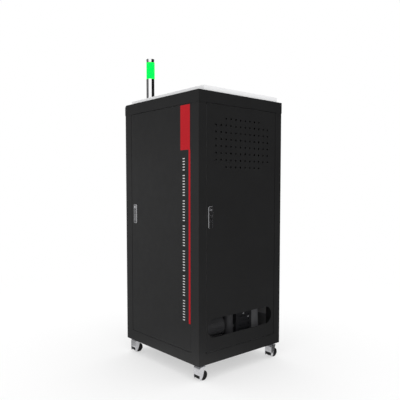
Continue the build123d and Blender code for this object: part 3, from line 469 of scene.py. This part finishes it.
def screwHead(centre, normal, radius, high, count=16):
    # domed head with a round socket: the profile climbs the dome and drops into the socket
    dome = np.linspace(0, 1, 5)
    outside = np.stack([radius * (1 - 0.42 * dome ** 2), high * np.sqrt(dome)], axis=-1)
    socket = radius * 0.42
    profile = np.vstack([[(radius, -0.0004)], outside, [(socket, high), (socket * 0.9, high * 0.35)]])
    return lathe(profile, centre, normal, count)


makeLamp()
print("signal lamp")


# Castors: two moulded wheels under each hood, and the bolts of the top plates

castor = {
    "tyreShare": 0.74, "shoulder": 0.003, "crown": 0.0006, "webHalf": 0.005, "axleRadius": 0.006,
    "capRadius": 0.008, "capProud": 0.0005, "dish": 0.003,
    "plateHalf": 0.027, "plateSheet": 0.003, "boltInset": 0.006, "boltRadius": 0.004, "boltHigh": 0.003,
}
hood = {
    "sheet": 0.0025, "cornerRadius": 0.013, "frontFoot": 0.029, "tip": (0.003, 0.004), "lip": 0.005,
    "webRadius": 0.011,
    # rear edge of a side skirt, from its top to its tip, from the axle
    "rearEdge": ((0.002, 0.02), (0.006, 0.004), (0.012, -0.009), (0.0185, -0.018), (0.0235, -0.0218)),
}
castorCorners = ("front_left", "front_right", "rear_left", "rear_right")


def tyreProfile(radius, half):
    # round shoulders either side of a tread that is crowned by a parabola, back along a plain inner wall
    shoulder, inner = castor["shoulder"], radius * castor["tyreShare"]
    turn = np.linspace(0, np.pi / 2, 6)
    flat = half - shoulder
    tread = np.linspace(-flat, flat, 7)[1:-1]
    lower = np.stack([radius - shoulder * (1 - np.sin(turn)), -flat - shoulder * np.cos(turn)], axis=-1)
    crown = np.stack([radius - castor["crown"] * (tread / flat) ** 2, tread], axis=-1)
    upper = lower[::-1] * np.array([1, -1])
    return np.vstack([[(inner, -half)], lower, crown, upper, [(inner, half)]])


def makeCastorWheel(corner):
    # each of the two wheels is a tyre round a hub with a dished outer face and a cap over the axle
    node = f"castor_wheel_{corner}"
    low, high = corners(node)
    centre = (low + high) / 2
    radius = (high[2] - low[2]) / 2
    reach = (high[1] - low[1]) / 2
    half = (reach - castor["webHalf"]) / 2
    middle = castor["webHalf"] + half
    inner = radius * castor["tyreShare"]
    cap, dish = castor["capRadius"], castor["dish"]
    face, capTop = half - 0.0008, half - castor["capProud"]
    hub = [(inner, -half + 0.0005), (inner, face), (inner * 0.9, face), (inner * 0.84, half - dish),
           (cap + 0.0012, half - dish), (cap, capTop - 0.001), (cap - 0.001, capTop)]
    axle = castor["axleRadius"]
    tyres, hubs = [], [lathe([(axle, -middle), (axle, middle)], centre, (0, 1, 0), 32)]
    for side in (-1, 1):
        place = centre + np.array([0, side * middle, 0])
        tyres.append(latheRing(tyreProfile(radius, half), place, (0, side, 0), 64))
        hubs.append(lathe(hub, place, (0, side, 0), 48))
    tyre = putPiece(f"tyres_{corner}", together(*tyres), tyreBlack, node)
    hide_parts(node)
    putPiece(f"hubs_{corner}", together(*hubs), hubBlack, node)


def bentStrip(path, halfWide, thick):
    # flat strip along a path in the x-z plane: at each point its section is y by the path's own normal
    path = np.asarray(path, float)
    ahead = np.gradient(path, axis=0)
    ahead /= np.linalg.norm(ahead, axis=1, keepdims=True)
    lift = np.column_stack([-ahead[:, 2], np.zeros(len(path)), ahead[:, 0]])  # ahead turned a quarter
    wide = np.array([0, 1.0, 0])
    grid = path[:, None] + square[:, :1] * halfWide * wide + square[:, 1:] * thick / 2 * lift[:, None]
    return closedSkin(grid)


def makeHood(corner):
    # bent front sheet, two skirts that run down to a point in front of the wheels, and a web to the axle
    node = f"castor_fork_{corner}"
    low, high = corners(node)
    wheelLow, wheelHigh = corners(f"castor_wheel_{corner}")
    axle = (wheelLow + wheelHigh) / 2
    radius = (wheelHigh[2] - wheelLow[2]) / 2
    front, back, top = high[0] - axle[0], low[0] - axle[0], high[2] - axle[2]
    halfWide = (high[1] - low[1]) / 2
    sheet, bend = hood["sheet"], hood["cornerRadius"]
    turn = np.linspace(0, np.pi / 2, 8)
    hub = np.array([front - bend, top - bend])
    around = bend * rays(turn)
    inset, rise = hood["tip"]
    tip = [(front - inset, rise - radius), (front, rise + hood["lip"] - radius)]
    rim = np.vstack([tip, hub + around, [(back, top)], hood["rearEdge"]])
    skins = []
    for side in (-1, 1):
        outline = rim if side < 0 else rim[::-1] * np.array([-1, 1])
        place = axle + np.array([0, side * (halfWide - sheet), 0])
        skins.append(plate(outline, place, (0, side, 0), sheet, 0.0005))
    inner = hub + around * (1 - sheet / 2 / bend)
    run = np.vstack([[(front - sheet / 2, hood["frontFoot"] - radius)], inner, [(back, top - sheet / 2)]])
    path = axle + upright(run)
    skins.append(bentStrip(path, halfWide - sheet + 0.0003, sheet))
    half = castor["webHalf"] - 0.001
    fan = np.linspace(math.radians(200), math.radians(340), 12)
    web = np.vstack([hood["webRadius"] * rays(fan), [(front - bend, top - sheet / 2),
                                                     (back + 0.001, top - sheet / 2)]])
    skins.append(plate(web, axle + np.array([0, half, 0]), (0, -1, 0), 2 * half, 0.0005))
    piece = putPiece(f"hood_{corner}", together(*skins), castSilver, node, 30)
    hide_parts(node)


def makeCastorBolts():
    # four six-sided heads under the corners of each top plate
    low, high = corners("castor_plates")
    plateHalf = castor["plateHalf"]
    reach = plateHalf - castor["boltInset"]
    level = high[2] - castor["plateSheet"]
    radius, tall = castor["boltRadius"], castor["boltHigh"]
    profile = [(radius, -0.0005), (radius, tall - 0.0006), (radius - 0.0006, tall)]
    head = lathe(profile, (0, 0, level), (0, 0, -1), 6)
    middle = (low[:2] + high[:2]) / 2
    swivel = middle + square * ((high[:2] - low[:2]) / 2 - plateHalf)
    places = (swivel[:, None] + reach * square[None]).reshape(-1, 2)
    offsets = np.column_stack([places, np.zeros(len(places))])
    putPiece("castor_bolts", repeated(head, offsets), screwSteel, "cabinet")


for corner in castorCorners:
    makeCastorWheel(corner)
    makeHood(corner)
makeCastorBolts()
print("castors")


# Perforated plate in the rear door, with round holes in place of the plain CAD ones

vent = {
    "columns": 12, "rows": 8, "pitch": 0.0357, "blanks": 2, "lift": 0.0045,
    "holeRadius": 0.0053, "edge": 0.0004, "perSide": 7,
}


def cellOutline(box):
    # points round each cell's rectangle, as many on every side, counter-clockwise from the low corner
    x0, x1, z0, z1 = box.T[..., None]
    step = np.arange(vent["perSide"]) / vent["perSide"]
    x = np.concatenate([x0 + (x1 - x0) * step, x1 + 0 * step, x1 + (x0 - x1) * step, x0 + 0 * step], axis=1)
    z = np.concatenate([z0 + 0 * step, z0 + (z1 - z0) * step, z1 + 0 * step, z1 + (z0 - z1) * step], axis=1)
    return np.stack([x, z], axis=-1)


def perforated(node):
    # the plate is cut into a cell for each place of the pattern; round a hole, a cell is a stack of rings:
    # its rectangle at the back, the rim at the back, in the hole, at the front, and its rectangle in front
    low, high = corners(node)
    middle = (low + high) / 2
    reach = (high - low) / 2
    column, row = np.meshgrid(np.arange(vent["columns"]), np.arange(vent["rows"]), indexing="ij")
    column, row = column.ravel(), row.ravel()
    lastColumn, lastRow = vent["columns"] - 1, vent["rows"] - 1
    x = (column - lastColumn / 2) * vent["pitch"]
    z = (row - lastRow / 2) * vent["pitch"] + vent["lift"]
    half = vent["pitch"] / 2
    box = np.stack([
        np.where(column == 0, -reach[0], x - half),
        np.where(column == lastColumn, reach[0], x + half),
        np.where(row == 0, -reach[2], z - half),
        np.where(row == lastRow, reach[2], z + half),
    ], axis=-1)
    fromSide = np.minimum(column, lastColumn - column)
    endRow = (row == 0) | (row == lastRow)
    drilled = ~(endRow & (fromSide < vent["blanks"]))
    outline = cellOutline(box)
    centre = np.stack([x, z], axis=-1)[:, None]
    ray = outline - centre
    ray /= np.linalg.norm(ray, axis=-1, keepdims=True)
    back, front = low[1], high[1]
    edge = vent["edge"]
    hole = centre + ray * vent["holeRadius"]
    mouth = centre + ray * (vent["holeRadius"] + edge)
    rims = [(outline, back), (mouth, back), (hole, back + edge), (hole, front - edge), (mouth, front),
            (outline, front)]
    rings = np.stack([np.stack([flat[..., 0], np.full(flat.shape[:2], level), flat[..., 1]], axis=-1)
                      for flat, level in rims], axis=1)
    rings[..., [0, 2]] += middle[[0, 2]]
    count = rings.shape[2]
    points = rings[drilled].reshape(-1, 3)
    stack = len(rims) * count
    start = (np.arange(drilled.sum()) * stack)[:, None, None]
    quads = (gridFaces(len(rims), count, True)[None] + start).reshape(-1, 4)
    blank = rings[~drilled][:, [0, -1]]
    base = len(points)
    j = np.arange(count)
    k = (j + 1) % count
    first = base + np.arange(len(blank))[:, None] * (2 * count + 2)
    hubs = blank.mean(axis=2)
    hub = np.broadcast_to(first + 2 * count, (len(blank), count))
    backFan = np.stack([hub, first + j, first + k], axis=-1)
    frontFan = np.stack([hub + 1, first + count + k, first + count + j], axis=-1)
    blankPoints = np.concatenate([blank.reshape(len(blank), -1, 3), hubs], axis=1).reshape(-1, 3)
    wall = edgeWall(rings, box, reach, base + len(blankPoints))
    points = np.vstack([points, blankPoints, wall[0]])
    faces = [quads, backFan.reshape(-1, 3), frontFan.reshape(-1, 3), wall[1]]
    return welded(points, faces)


def edgeWall(rings, box, reach, first):
    # the plate's own rim: a quad from back to front wherever a cell's side lies on the plate's edge
    outline = rings[:, [0, -1]]
    ahead = np.roll(outline, -1, axis=2)
    quads = np.stack([outline[:, 0], ahead[:, 0], ahead[:, 1], outline[:, 1]], axis=2)
    perSide = vent["perSide"]
    onEdge = np.stack([np.isclose(box[:, 2], -reach[2]), np.isclose(box[:, 1], reach[0]),
                       np.isclose(box[:, 3], reach[2]), np.isclose(box[:, 0], -reach[0])], axis=-1)
    points = quads[np.repeat(onEdge, perSide, axis=1)].reshape(-1, 3)
    return points, first + np.arange(len(points)).reshape(-1, 4)[:, ::-1]


def welded(points, faces, grid=1e-6):
    # points that fall on one spot of a fine grid become one point
    spots = np.round(points / grid).astype(np.int64)
    _, first, number = np.unique(spots, axis=0, return_index=True, return_inverse=True)
    return points[first], [number.ravel()[block] for block in faces]


plateSkin = perforated("vent_plate")
perforatedPlate = putPiece("vent_holes", plateSkin, powderBlack, "rear_door", 30)
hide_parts("vent_plate")
print("perforated plate")


# Lift handles: bright rim round each case, and a lock disc in place of the plain button

handle = {
    "corner": 0.006,
    "rim": ((0.0003, 0.0), (0.0003, 0.0023), (-0.0007, 0.0033), (-0.0022, 0.0033), (-0.0022, 0.002),
            (-0.001, 0.0)),
    "discRadius": 0.0047, "discSetback": 0.0008, "slotHalf": (0.0006, 0.0034), "slotHigh": 0.0002,
    "gripHalf": (0.0068, 0.0005), "gripPitch": 0.0032, "gripCount": 7, "gripHigh": 0.0005,
    "gripFoot": 0.012,
}


def makeHandle(side, normal):
    # normal is the door's outward direction; across lies in the door's face
    normal = np.asarray(normal, float)
    across = axesFor(normal)[0]
    axis = int(np.argmax(np.abs(normal)))
    low, high = corners(f"{side}_handle_case")
    centre = (low + high) / 2
    centre[axis] = corners(f"{side}_door")[1][axis]
    halfWide = float(np.abs((high - low) @ across)) / 2
    halfHigh = (high[2] - low[2]) / 2
    outline = roundOutline(halfWide, halfHigh, handle["corner"], 6)
    rim = trim(outline, handle["rim"], centre, normal)
    putPiece(f"{side}_handle_rim", rim, satinChrome, f"{side}_door")
    low, high = corners(f"{side}_handle_button")
    middle = (low + high) / 2
    radius = (high[2] - low[2]) / 2
    middle[axis] = low[axis]
    tall = high[axis] - low[axis]
    disc, back = handle["discRadius"], tall - handle["discSetback"]
    shape = [(radius, 0.0), (radius, tall - 0.001), (radius - 0.0003, tall - 0.0003),
             (radius - 0.001, tall), (disc + 0.0004, tall), (disc, back), (disc - 0.0003, back + 0.0002)]
    lock = lathe(shape, middle, normal, 40)
    button = putPiece(f"{side}_lock_button", lock, buttonChrome, f"{side}_button")
    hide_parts(f"{side}_handle_button")
    place = middle + normal * (back + 0.0001)
    slot = roundOutline(*handle["slotHalf"], 0.0005, 4)
    keyhole = plate(slot, place, normal, handle["slotHigh"], 0.00004)
    putPiece(f"{side}_keyhole", keyhole, screwBlack, f"{side}_button")
    low, high = corners(f"{side}_handle_lever")
    start = (low + high) / 2
    start[axis] = high[axis] - 0.0002
    start[2] = low[2] + handle["gripFoot"]
    rib = plate(roundOutline(*handle["gripHalf"], 0.0004, 3), start, normal, handle["gripHigh"], 0.00012)
    lift = np.arange(handle["gripCount"])[:, None] * np.array([0, 0, handle["gripPitch"]])
    putPiece(f"{side}_lever_ribs", repeated(rib, lift), handleSatin, f"{side}_lever")


makeHandle("side", (1, 0, 0))
makeHandle("rear", (0, 1, 0))
print("handles")


# Rubber strips along the edges of both doors, short of the pivots at the hinge corners

doorSeal = {"levels": (-0.0004, 0.0008, 0.0014), "draft": 0.985, "deep": (0.0012, 0.009), "inset": 0.001,
            "pastPivot": 0.027}


def makeDoorSeal(side, normal, hingeEnd):
    # one bevelled strip on each edge of the door; hingeEnd, -1 or 1, is the across end with the pivots
    normal = np.asarray(normal, float)
    across = axesFor(normal)[0]
    low, high = corners(f"{side}_door")
    middle = (low + high) / 2
    axis = int(np.argmax(np.abs(normal)))
    shallow, deep = doorSeal["deep"]
    middle[axis] = high[axis] - (shallow + deep) / 2
    halfWide = float(np.abs((high - low) @ across)) / 2
    halfHigh = (high[2] - low[2]) / 2
    inset, clear = doorSeal["inset"], doorSeal["pastPivot"]
    halfDeep = (deep - shallow) / 2
    strips = []
    for end in (-1, 1):
        outline = square * np.array([halfDeep, halfHigh - inset])
        strips.append(edgeStrip(outline, middle + end * halfWide * across, end * across))
        run = square * np.array([halfWide - (inset + clear) / 2, halfDeep])
        place = middle + np.array([0, 0, end * halfHigh]) - hingeEnd * (clear - inset) / 2 * across
        strips.append(edgeStrip(run, place, np.array([0, 0, end]), across))
    putPiece(f"{side}_door_seal", together(*strips), gapGrey, f"{side}_door")


def edgeStrip(outline, place, outward, along=None):
    # low strip on an edge: its outline at the door's edge, and the same drawn in at its proud face
    side = np.cross(np.array([0, 0, 1.0]), outward) if along is None else along
    up = np.cross(outward, side)
    flat = outline @ np.stack([side, up])
    rings = np.stack([flat, flat, flat * doorSeal["draft"]])
    level = np.array(doorSeal["levels"])[:, None, None]
    return closedSkin(place + rings + level * outward)


makeDoorSeal("side", (1, 0, 0), 1)
makeDoorSeal("rear", (0, 1, 0), 1)
print("door seals")


# Wire guard on the inside of the fan

guard = {
    "rings": (0.016, 0.028, 0.040, 0.052), "wire": 0.0009, "standOff": 0.004,
    "spokes": 4, "spokeEnd": 0.068,
}


def makeGuard():
    low, high = corners("fan_housing")
    centre = (low + high) / 2
    centre[1] = low[1] - guard["standOff"]
    wires = []
    for radius in guard["rings"]:
        wires.append(tubeAlong(centre + radius * upright(circleAt(56)), guard["wire"], 8, True))
    for turn in circleAt(guard["spokes"], math.pi / 4):
        # straight spoke that bends forward to the frame's face at its end
        away = np.array([0.010, 0.056, 0.0635, guard["spokeEnd"], guard["spokeEnd"] + 0.0008])
        forward = np.array([0, 0, 0.0004, 0.0024, guard["standOff"] + 0.0005])
        path = centre + np.column_stack([away * turn[0], forward, away * turn[1]])
        wires.append(tubeAlong(path, guard["wire"] * 1.3, 8))
    putPiece("fan_guard", together(*wires), screwSteel, "rear_door")


makeGuard()
print("fan guard")


# Pump fittings: two bright plugs on the casing, the terminal box's lid, and a cap on the mist filter

pump = {
    "plugs": ((0.0395, 0.178), (0.0005, 0.153)),  # across from the line's side, and over the casing's foot
    "plugRadius": 0.0055, "plugHigh": 0.004,
    "lidHalf": (0.031, 0.036), "lidThick": 0.003, "lidCorner": 0.006, "lidScrew": (0.03, 0.025),
    "boxAcross": 0.063, "filterCap": 0.03, "filterCapHigh": 0.009,
}


def makePumpFittings():
    low, high = corners("pump_casing")
    inlet = corners("vacuum_line")
    plugs = []
    for across, up in pump["plugs"]:
        place = (inlet[0][0] + across, high[1], low[2] + up)
        radius, tall = pump["plugRadius"], pump["plugHigh"]
        turn = np.linspace(0, np.pi / 2, 6)
        rise = tall * 0.35 + tall * 0.65 * np.sin(turn)
        dome = np.stack([0.001 + (radius - 0.001) * np.cos(turn), rise], axis=-1)
        collar = [(radius * 1.25, -0.001), (radius * 1.25, tall * 0.3)]
        plugs.append(lathe(np.vstack([collar, dome]), place, (0, 1, 0), 24))
    putPiece("pump_plugs", together(*plugs), buttonChrome, "cabinet")
    low, high = corners("pump_motor")
    boxMiddle = np.array([low[0] + pump["boxAcross"], (low[1] + high[1]) / 2, high[2]])
    outline = roundOutline(*pump["lidHalf"], pump["lidCorner"], 6)
    lid = plate(outline, boxMiddle, (0, 0, 1), pump["lidThick"], 0.0008)
    head = screwHead(boxMiddle + np.array([0, 0, pump["lidThick"]]), (0, 0, 1), 0.0028, 0.0016)
    putPiece("terminal_lid", lid, motorPaint, "cabinet")
    offsets = np.column_stack([square * pump["lidScrew"], np.zeros(4)])
    putPiece("terminal_screws", repeated(head, offsets), screwSteel, "cabinet")
    low, high = corners("mist_filter")
    top = np.array([(low[0] + high[0]) / 2, (low[1] + high[1]) / 2, high[2]])
    radius, tall = pump["filterCap"], pump["filterCapHigh"]
    angle = np.linspace(0, 2 * np.pi, 96, endpoint=False)
    grip = radius * (1 - 0.03 * (np.sin(angle * 12) > 0))  # twelve finger flats round the cap
    level = np.array([-0.001, tall * 0.8, tall, tall])
    share = np.array([1.0, 1.0, 0.95, 0.2])
    grid = top + np.stack([share[:, None] * grip * np.cos(angle), share[:, None] * grip * np.sin(angle),
                           np.broadcast_to(level[:, None], (4, len(angle)))], axis=-1)
    putPiece("filter_cap", closedSkin(grid), screwBlack, "cabinet")


makePumpFittings()
print("pump fittings")


# Operator front: display, rings of the two push buttons, window ring and the panel screws

front = {
    "display": (0.0905, 0.0585), "setback": 0.0012, "tileHigh": 0.0002,
    # head line and buttons of the screen: across, up, half width, half height, corner
    "keys": ((0, 0.049, 0.084, 0.0035, 0.001), (0.036, -0.024, 0.012, 0.008, 0.003),
             (0.068, -0.024, 0.012, 0.008, 0.003)),
    "stopRing": (0.0183, 0.0275, 0.0012), "startRing": (0.0183, 0.0205, 0.002),
    "windowRing": (0.0795, 0.0975, 0.003), "ringScrews": 12, "ringScrewAt": 0.0915,
    "screwInset": 0.014, "screwRadius": 0.0036, "screwHigh": 0.0013,
}


def tileOn(place, x, z, halfWide, halfHigh, corner):
    outline = roundOutline(halfWide, halfHigh, corner, 4)
    return plate(outline, place + np.array([x, 0, z]), (0, -1, 0), 0.0001, 0.00003)


def makeDisplay():
    # dark screen with a head line, three gauges, a row of level bars and two round buttons, and no words
    low, high = corners("touch_screen")
    glass = np.array([(low[0] + high[0]) / 2, low[1] + front["setback"], (low[2] + high[2]) / 2])
    screen = plate(roundOutline(*front["display"], 0.001, 3), glass, (0, -1, 0), front["tileHigh"], 0.00005)
    putPiece("screen_ground", screen, screenGlow, "cabinet")
    onGlass = glass - np.array([0, front["tileHigh"], 0])
    height = 0.004 + 0.016 * np.abs(np.sin(np.arange(9) * 0.8 + 0.6))
    bars = [tileOn(onGlass, -0.066 + 0.0085 * i, -0.034 + h / 2, 0.0028, h / 2, 0.0008)
            for i, h in enumerate(height)]
    dials = []
    for x in (-0.055, 0.0, 0.055):
        angle = np.linspace(math.radians(-40), math.radians(220), 40)
        path = onGlass + (x, -0.0001, 0.014) + 0.019 * upright(rays(angle))
        dials.append(tubeAlong(path, 0.0008, 6))
        dials.append(tileOn(onGlass, x, 0.014, 0.006, 0.0022, 0.001))
    putPiece("screen_gauges", together(*dials, *bars), screenMark, "cabinet")
    pale = [tileOn(onGlass, *key) for key in front["keys"]]
    putPiece("screen_keys", together(*pale), screenPale, "cabinet")


def flatRing(inner, outer, high, centre, normal, bevel=0.0004, count=64):
    profile = [(outer, -0.0003), (outer, high - bevel), (outer - bevel, high), (inner + bevel, high),
               (inner, high - bevel), (inner, -0.0003)]
    return latheRing(profile, centre, normal, count)


def makeButtonRings():
    panel = corners("front_panel")[0][1]
    for name, node, color, slot in (("stop", "emergency_stop", ringYellow, "stop_red"),
                                    ("start", "start_button", satinChrome, "button_chrome")):
        low, high = corners(node)
        centre = ((low[0] + high[0]) / 2, panel, (low[2] + high[2]) / 2)
        ring = flatRing(*front[f"{name}Ring"], centre, (0, -1, 0))
        putPiece(f"{name}_ring", ring, color, "cabinet")


def makeWindowRing():
    # ring on the chamber door's face round the window, held by a circle of screws
    low, high = corners("chamber_window")
    centre = (low + high) / 2
    centre[1] = low[1] - 0.002  # the door's face, which the glass sits back from
    inner, outer, tall = front["windowRing"]
    ring = flatRing(inner, outer, tall, centre, (0, -1, 0), 0.0008, 96)
    putPiece("window_ring", ring, satinChrome, "chamber_door")
    head = screwHead(centre - np.array([0, tall, 0]), (0, -1, 0), 0.003, 0.0018)
    offsets = front["ringScrewAt"] * upright(circleAt(front["ringScrews"], 0.26))
    putPiece("window_screws", repeated(head, offsets), screwSteel, "chamber_door")


def panelScrews(name, node, axis, side, rows):
    # domed screws down both edges of a fixed sheet, on the face that looks out
    low, high = corners(node)
    normal = np.zeros(3)
    normal[axis] = side
    start = (low + high) / 2
    start[axis] = low[axis] if side < 0 else high[axis]
    head = screwHead(start, normal, front["screwRadius"], front["screwHigh"])
    wide = 1 - axis
    reach = (high - low) / 2 - front["screwInset"]
    levels = np.linspace(-reach[2], reach[2], rows)
    up, over = np.meshgrid(levels, (-reach[wide], reach[wide]), indexing="ij")
    offsets = np.zeros((up.size, 3))
    offsets[:, wide] = over.ravel()
    offsets[:, 2] = up.ravel()
    putPiece(name, repeated(head, offsets), screwBlack, "cabinet")


makeDisplay()
makeButtonRings()
makeWindowRing()
panelScrews("front_panel_screws", "front_panel", 1, -1, 4)
panelScrews("lower_panel_screws", "front_lower_panel", 1, -1, 4)
panelScrews("left_panel_screws", "left_panel", 0, -1, 6)
print("operator front")


# Pale grey plates on the inside of the left sheet and on the floor of the base: painted light, their grey
# stands in for light reaching the cabinet's dim inside

insideLightPlates = {"thick": 0.002, "margin": 0.02, "matMargin": 0.04, "foot": 0.005, "top": 0.45}


def makeInsideLightPlates():
    # two thin plates: one on the inner face of the left sheet, one on the floor between the posts
    low, high = corners("left_panel")
    base = corners("base_pan")
    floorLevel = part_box("pump_feet")[0][2]
    half = (high[1] - low[1]) / 2 - insideLightPlates["margin"]
    tall = insideLightPlates["top"] / 2
    place = np.array([high[0], (low[1] + high[1]) / 2, floorLevel + insideLightPlates["foot"] + tall])
    wall = plate(roundOutline(half, tall, 0.002, 3), place, (1, 0, 0), insideLightPlates["thick"], 0.0004)
    middle = (base[0] + base[1]) / 2
    reach = (base[1] - base[0]) / 2 - insideLightPlates["matMargin"]
    mat = plate(roundOutline(reach[1], reach[0], 0.01, 4), (middle[0], middle[1], floorLevel), (0, 0, 1),
                insideLightPlates["thick"], 0.0004)
    # the plates' pale grey is painted light for the cabinet's dim inside
    putPiece("inside_light_plates", together(wall, mat), paintedLightGrey, "cabinet")


makeInsideLightPlates()
print("insideLightPlates")


# Generator: cooling slots in the side that the side door shows, and a pair of lifting grips

generator = {"slots": 11, "pitch": 0.014, "slotHalf": (0.0035, 0.045), "slotHigh": 0.0006,
             "gripWide": 0.05, "gripRise": 0.016, "gripBend": 0.008, "gripRadius": 0.0038}


def makeGenerator():
    low, high = corners("generator")
    middle = (low + high) / 2
    face = np.array([high[0], middle[1] - (generator["slots"] - 1) * generator["pitch"] / 2, middle[2]])
    outline = roundOutline(*generator["slotHalf"], 0.0034, 5)
    one = plate(outline, face, (1, 0, 0), generator["slotHigh"], 0.0001)
    offsets = np.arange(generator["slots"])[:, None] * np.array([0, generator["pitch"], 0])
    putPiece("generator_slots", repeated(one, offsets), fanPlastic, "cabinet")
    turn = np.linspace(0, np.pi / 2, 6)
    wide, rise, bend = generator["gripWide"], generator["gripRise"], generator["gripBend"]
    left = np.stack([-wide + bend - bend * np.cos(turn), rise - bend + bend * np.sin(turn)], axis=-1)
    path = np.vstack([[(-wide, -0.001)], left, left[::-1] * np.array([-1, 1]), [(wide, -0.001)]])
    path = np.column_stack([np.zeros(len(path)), path])  # in the y-z plane
    grips = [tubeAlong(path + np.array([x, middle[1], high[2]]), generator["gripRadius"], 12)
             for x in (low[0] + 0.03, high[0] - 0.03)]
    putPiece("generator_grips", together(*grips), satinChrome, "cabinet")


makeGenerator()
print("generator")


# Floor, light and camera

studio = {
    "nearCorner": (capHigh[0], capHigh[1]), "bodyHeight": 1.4,
    "offset": (1.1352, 1.3205), "eyeLevel": 0.6514, "azimuth": 139.17, "pitch": -3.46,
    "focal": 489.2, "frameWidth": 400.0, "axisDrop": 17.6,  # in pixels of a 400 wide picture
    "worldLight": 1.2, "keyPower": 90.0, "keyPlace": (3.6, -3.4, 3.2), "keySize": 2.4,
    "floorColor": 0.9, "floorReach": 30.0, "shadowFade": 0.5, "fadeFrom": 0.7, "fadeTo": 3.0,
}

# name: start and end angle from the camera's direction, the edges as (radius, height), and the level
cards = {
    "dark_wall": (28, 125, ((7.0, -0.2), (7.0, 9.0)), 0.012),
    "dark_floor": (34, 125, ((0.5, 0.002), (7.0, 0.002)), 0.1),
    "pale_wall": (-150, -52, ((7.0, -0.2), (7.0, 2.2)), 0.5),
    "grey_wall": (-150, -52, ((7.0, 2.2), (7.0, 9.0)), 0.125),
    "pale_floor": (-150, -40, ((0.5, 0.002), (7.0, 0.002)), 0.35),
}


def makeCamera():
    data = bpy.data.cameras.new("camera")
    camera = addObject("camera", data)
    near = np.array([*studio["nearCorner"], bodyFoot])
    camera.location = tuple(near + studio["bodyHeight"] * np.array([*studio["offset"], studio["eyeLevel"]]))
    camera.rotation_euler = (math.radians(90 + studio["pitch"]), 0, math.radians(studio["azimuth"]))
    data.sensor_width = 36.0
    data.lens = studio["focal"] / studio["frameWidth"] * data.sensor_width
    data.shift_y = studio["axisDrop"] / studio["frameWidth"]
    bpy.context.scene.camera = camera


def makeWorld():
    world = bpy.data.worlds.new("studio")
    bpy.context.scene.world = world
    world.use_nodes = True
    tree = world.node_tree
    white = (1, 1, 1, 1)
    light = feed(tree, tree.nodes["Background"], {"Color": white, "Strength": studio["worldLight"]})
    seen = addNode(tree, "ShaderNodeBackground", {"Color": white, "Strength": 1.0})
    mixToEnd(tree, seenByEye(tree), light.outputs["Background"], seen.outputs["Background"], "World Output")


def mixToEnd(tree, share, first, second, end):
    mix = addNode(tree, "ShaderNodeMixShader", {"Fac": share, 1: first, 2: second})
    feed(tree, tree.nodes[end], {"Surface": mix.outputs["Shader"]})


def seenByEye(tree):
    # 1 for camera, mirror and glass rays, 0 for the light's own bounces
    path = tree.nodes.new("ShaderNodeLightPath")
    total = path.outputs["Is Camera Ray"]
    for name in ("Is Glossy Ray", "Is Transmission Ray"):
        add = tree.nodes.new("ShaderNodeMath")
        add.operation = "MAXIMUM"
        feed(tree, add, {0: total, 1: path.outputs[name]})
        total = add.outputs["Value"]
    return total


def makeFloor():
    # a wide disc: its own light, added for the eye, fades the far floor to white but keeps the near shadow
    material, tree, shader, place = newMaterial("paleFloor")
    pale = studio["floorColor"]
    feed(tree, shader, {"Base Color": (pale, pale, pale, 1), "Roughness": 0.9, "Specular IOR Level": 0.0})
    white = tree.nodes.new("ShaderNodeEmission")
    distance = tree.nodes.new("ShaderNodeVectorMath")
    distance.operation = "LENGTH"
    feed(tree, distance, {0: place})
    fade = tree.nodes.new("ShaderNodeMapRange")
    fade.interpolation_type = "SMOOTHSTEP"
    feed(tree, fade, {"From Min": studio["fadeFrom"], "From Max": studio["fadeTo"],
                      "To Min": studio["shadowFade"], "Value": distance.outputs["Value"]})
    byEye = tree.nodes.new("ShaderNodeMath")
    byEye.operation = "MULTIPLY"
    feed(tree, byEye, {0: fade.outputs["Result"], 1: seenByEye(tree)})
    shine = white.outputs["Emission"]
    mixToEnd(tree, byEye.outputs["Value"], shader.outputs["BSDF"], shine, "Material Output")
    reach = studio["floorReach"]
    disc = lathe([(reach, -0.002), (reach, 0.0)], (0, 0, -0.0005), (0, 0, 1), 64)
    floor = putPiece("floor", disc, material, None)


def makeCard(name, start, end, edges, level):
    # curved card seen by mirror rays alone: an arc between two angles, from its first edge to its second
    facing = math.atan2(studio["offset"][1], studio["offset"][0])
    # a larger angle lies further to the picture's right
    angle = facing + np.radians(np.linspace(start, end, 24))
    radius, height = np.array(edges)[:, :, None].swapaxes(0, 1)
    grid = np.stack(np.broadcast_arrays(radius * np.cos(angle), radius * np.sin(angle), height), axis=-1)
    material, tree, shader, place = newMaterial(name)
    plain = addNode(tree, "ShaderNodeEmission", {"Color": (level, level, level, 1)})
    feed(tree, tree.nodes["Material Output"], {"Surface": plain.outputs["Emission"]})
    card = putPiece(name, (grid.reshape(-1, 3), [gridFaces(2, len(angle), False)]), material, None)
    card.visible_camera = False
    card.visible_diffuse = False
    card.visible_transmission = False
    card.visible_shadow = False


def softLight(name, place, aim, size, power):
    data = bpy.data.lights.new(name, "AREA")
    data.shape = "DISK"
    data.size = size
    data.energy = power
    light = addObject(name, data)
    light.location = place
    direction = np.array(aim) - np.array(place)
    yaw = math.atan2(direction[0], -direction[1])
    tilt = math.acos(-direction[2] / np.linalg.norm(direction))
    light.rotation_euler = (tilt, 0, yaw)


makeCamera()
makeWorld()
makeFloor()
for name, values in cards.items():
    makeCard(name, *values)
softLight("key", studio["keyPlace"], (0, 0, 1.0), studio["keySize"], studio["keyPower"])
bpy.context.scene.view_settings.view_transform = "Standard"
print("floor, light and camera")
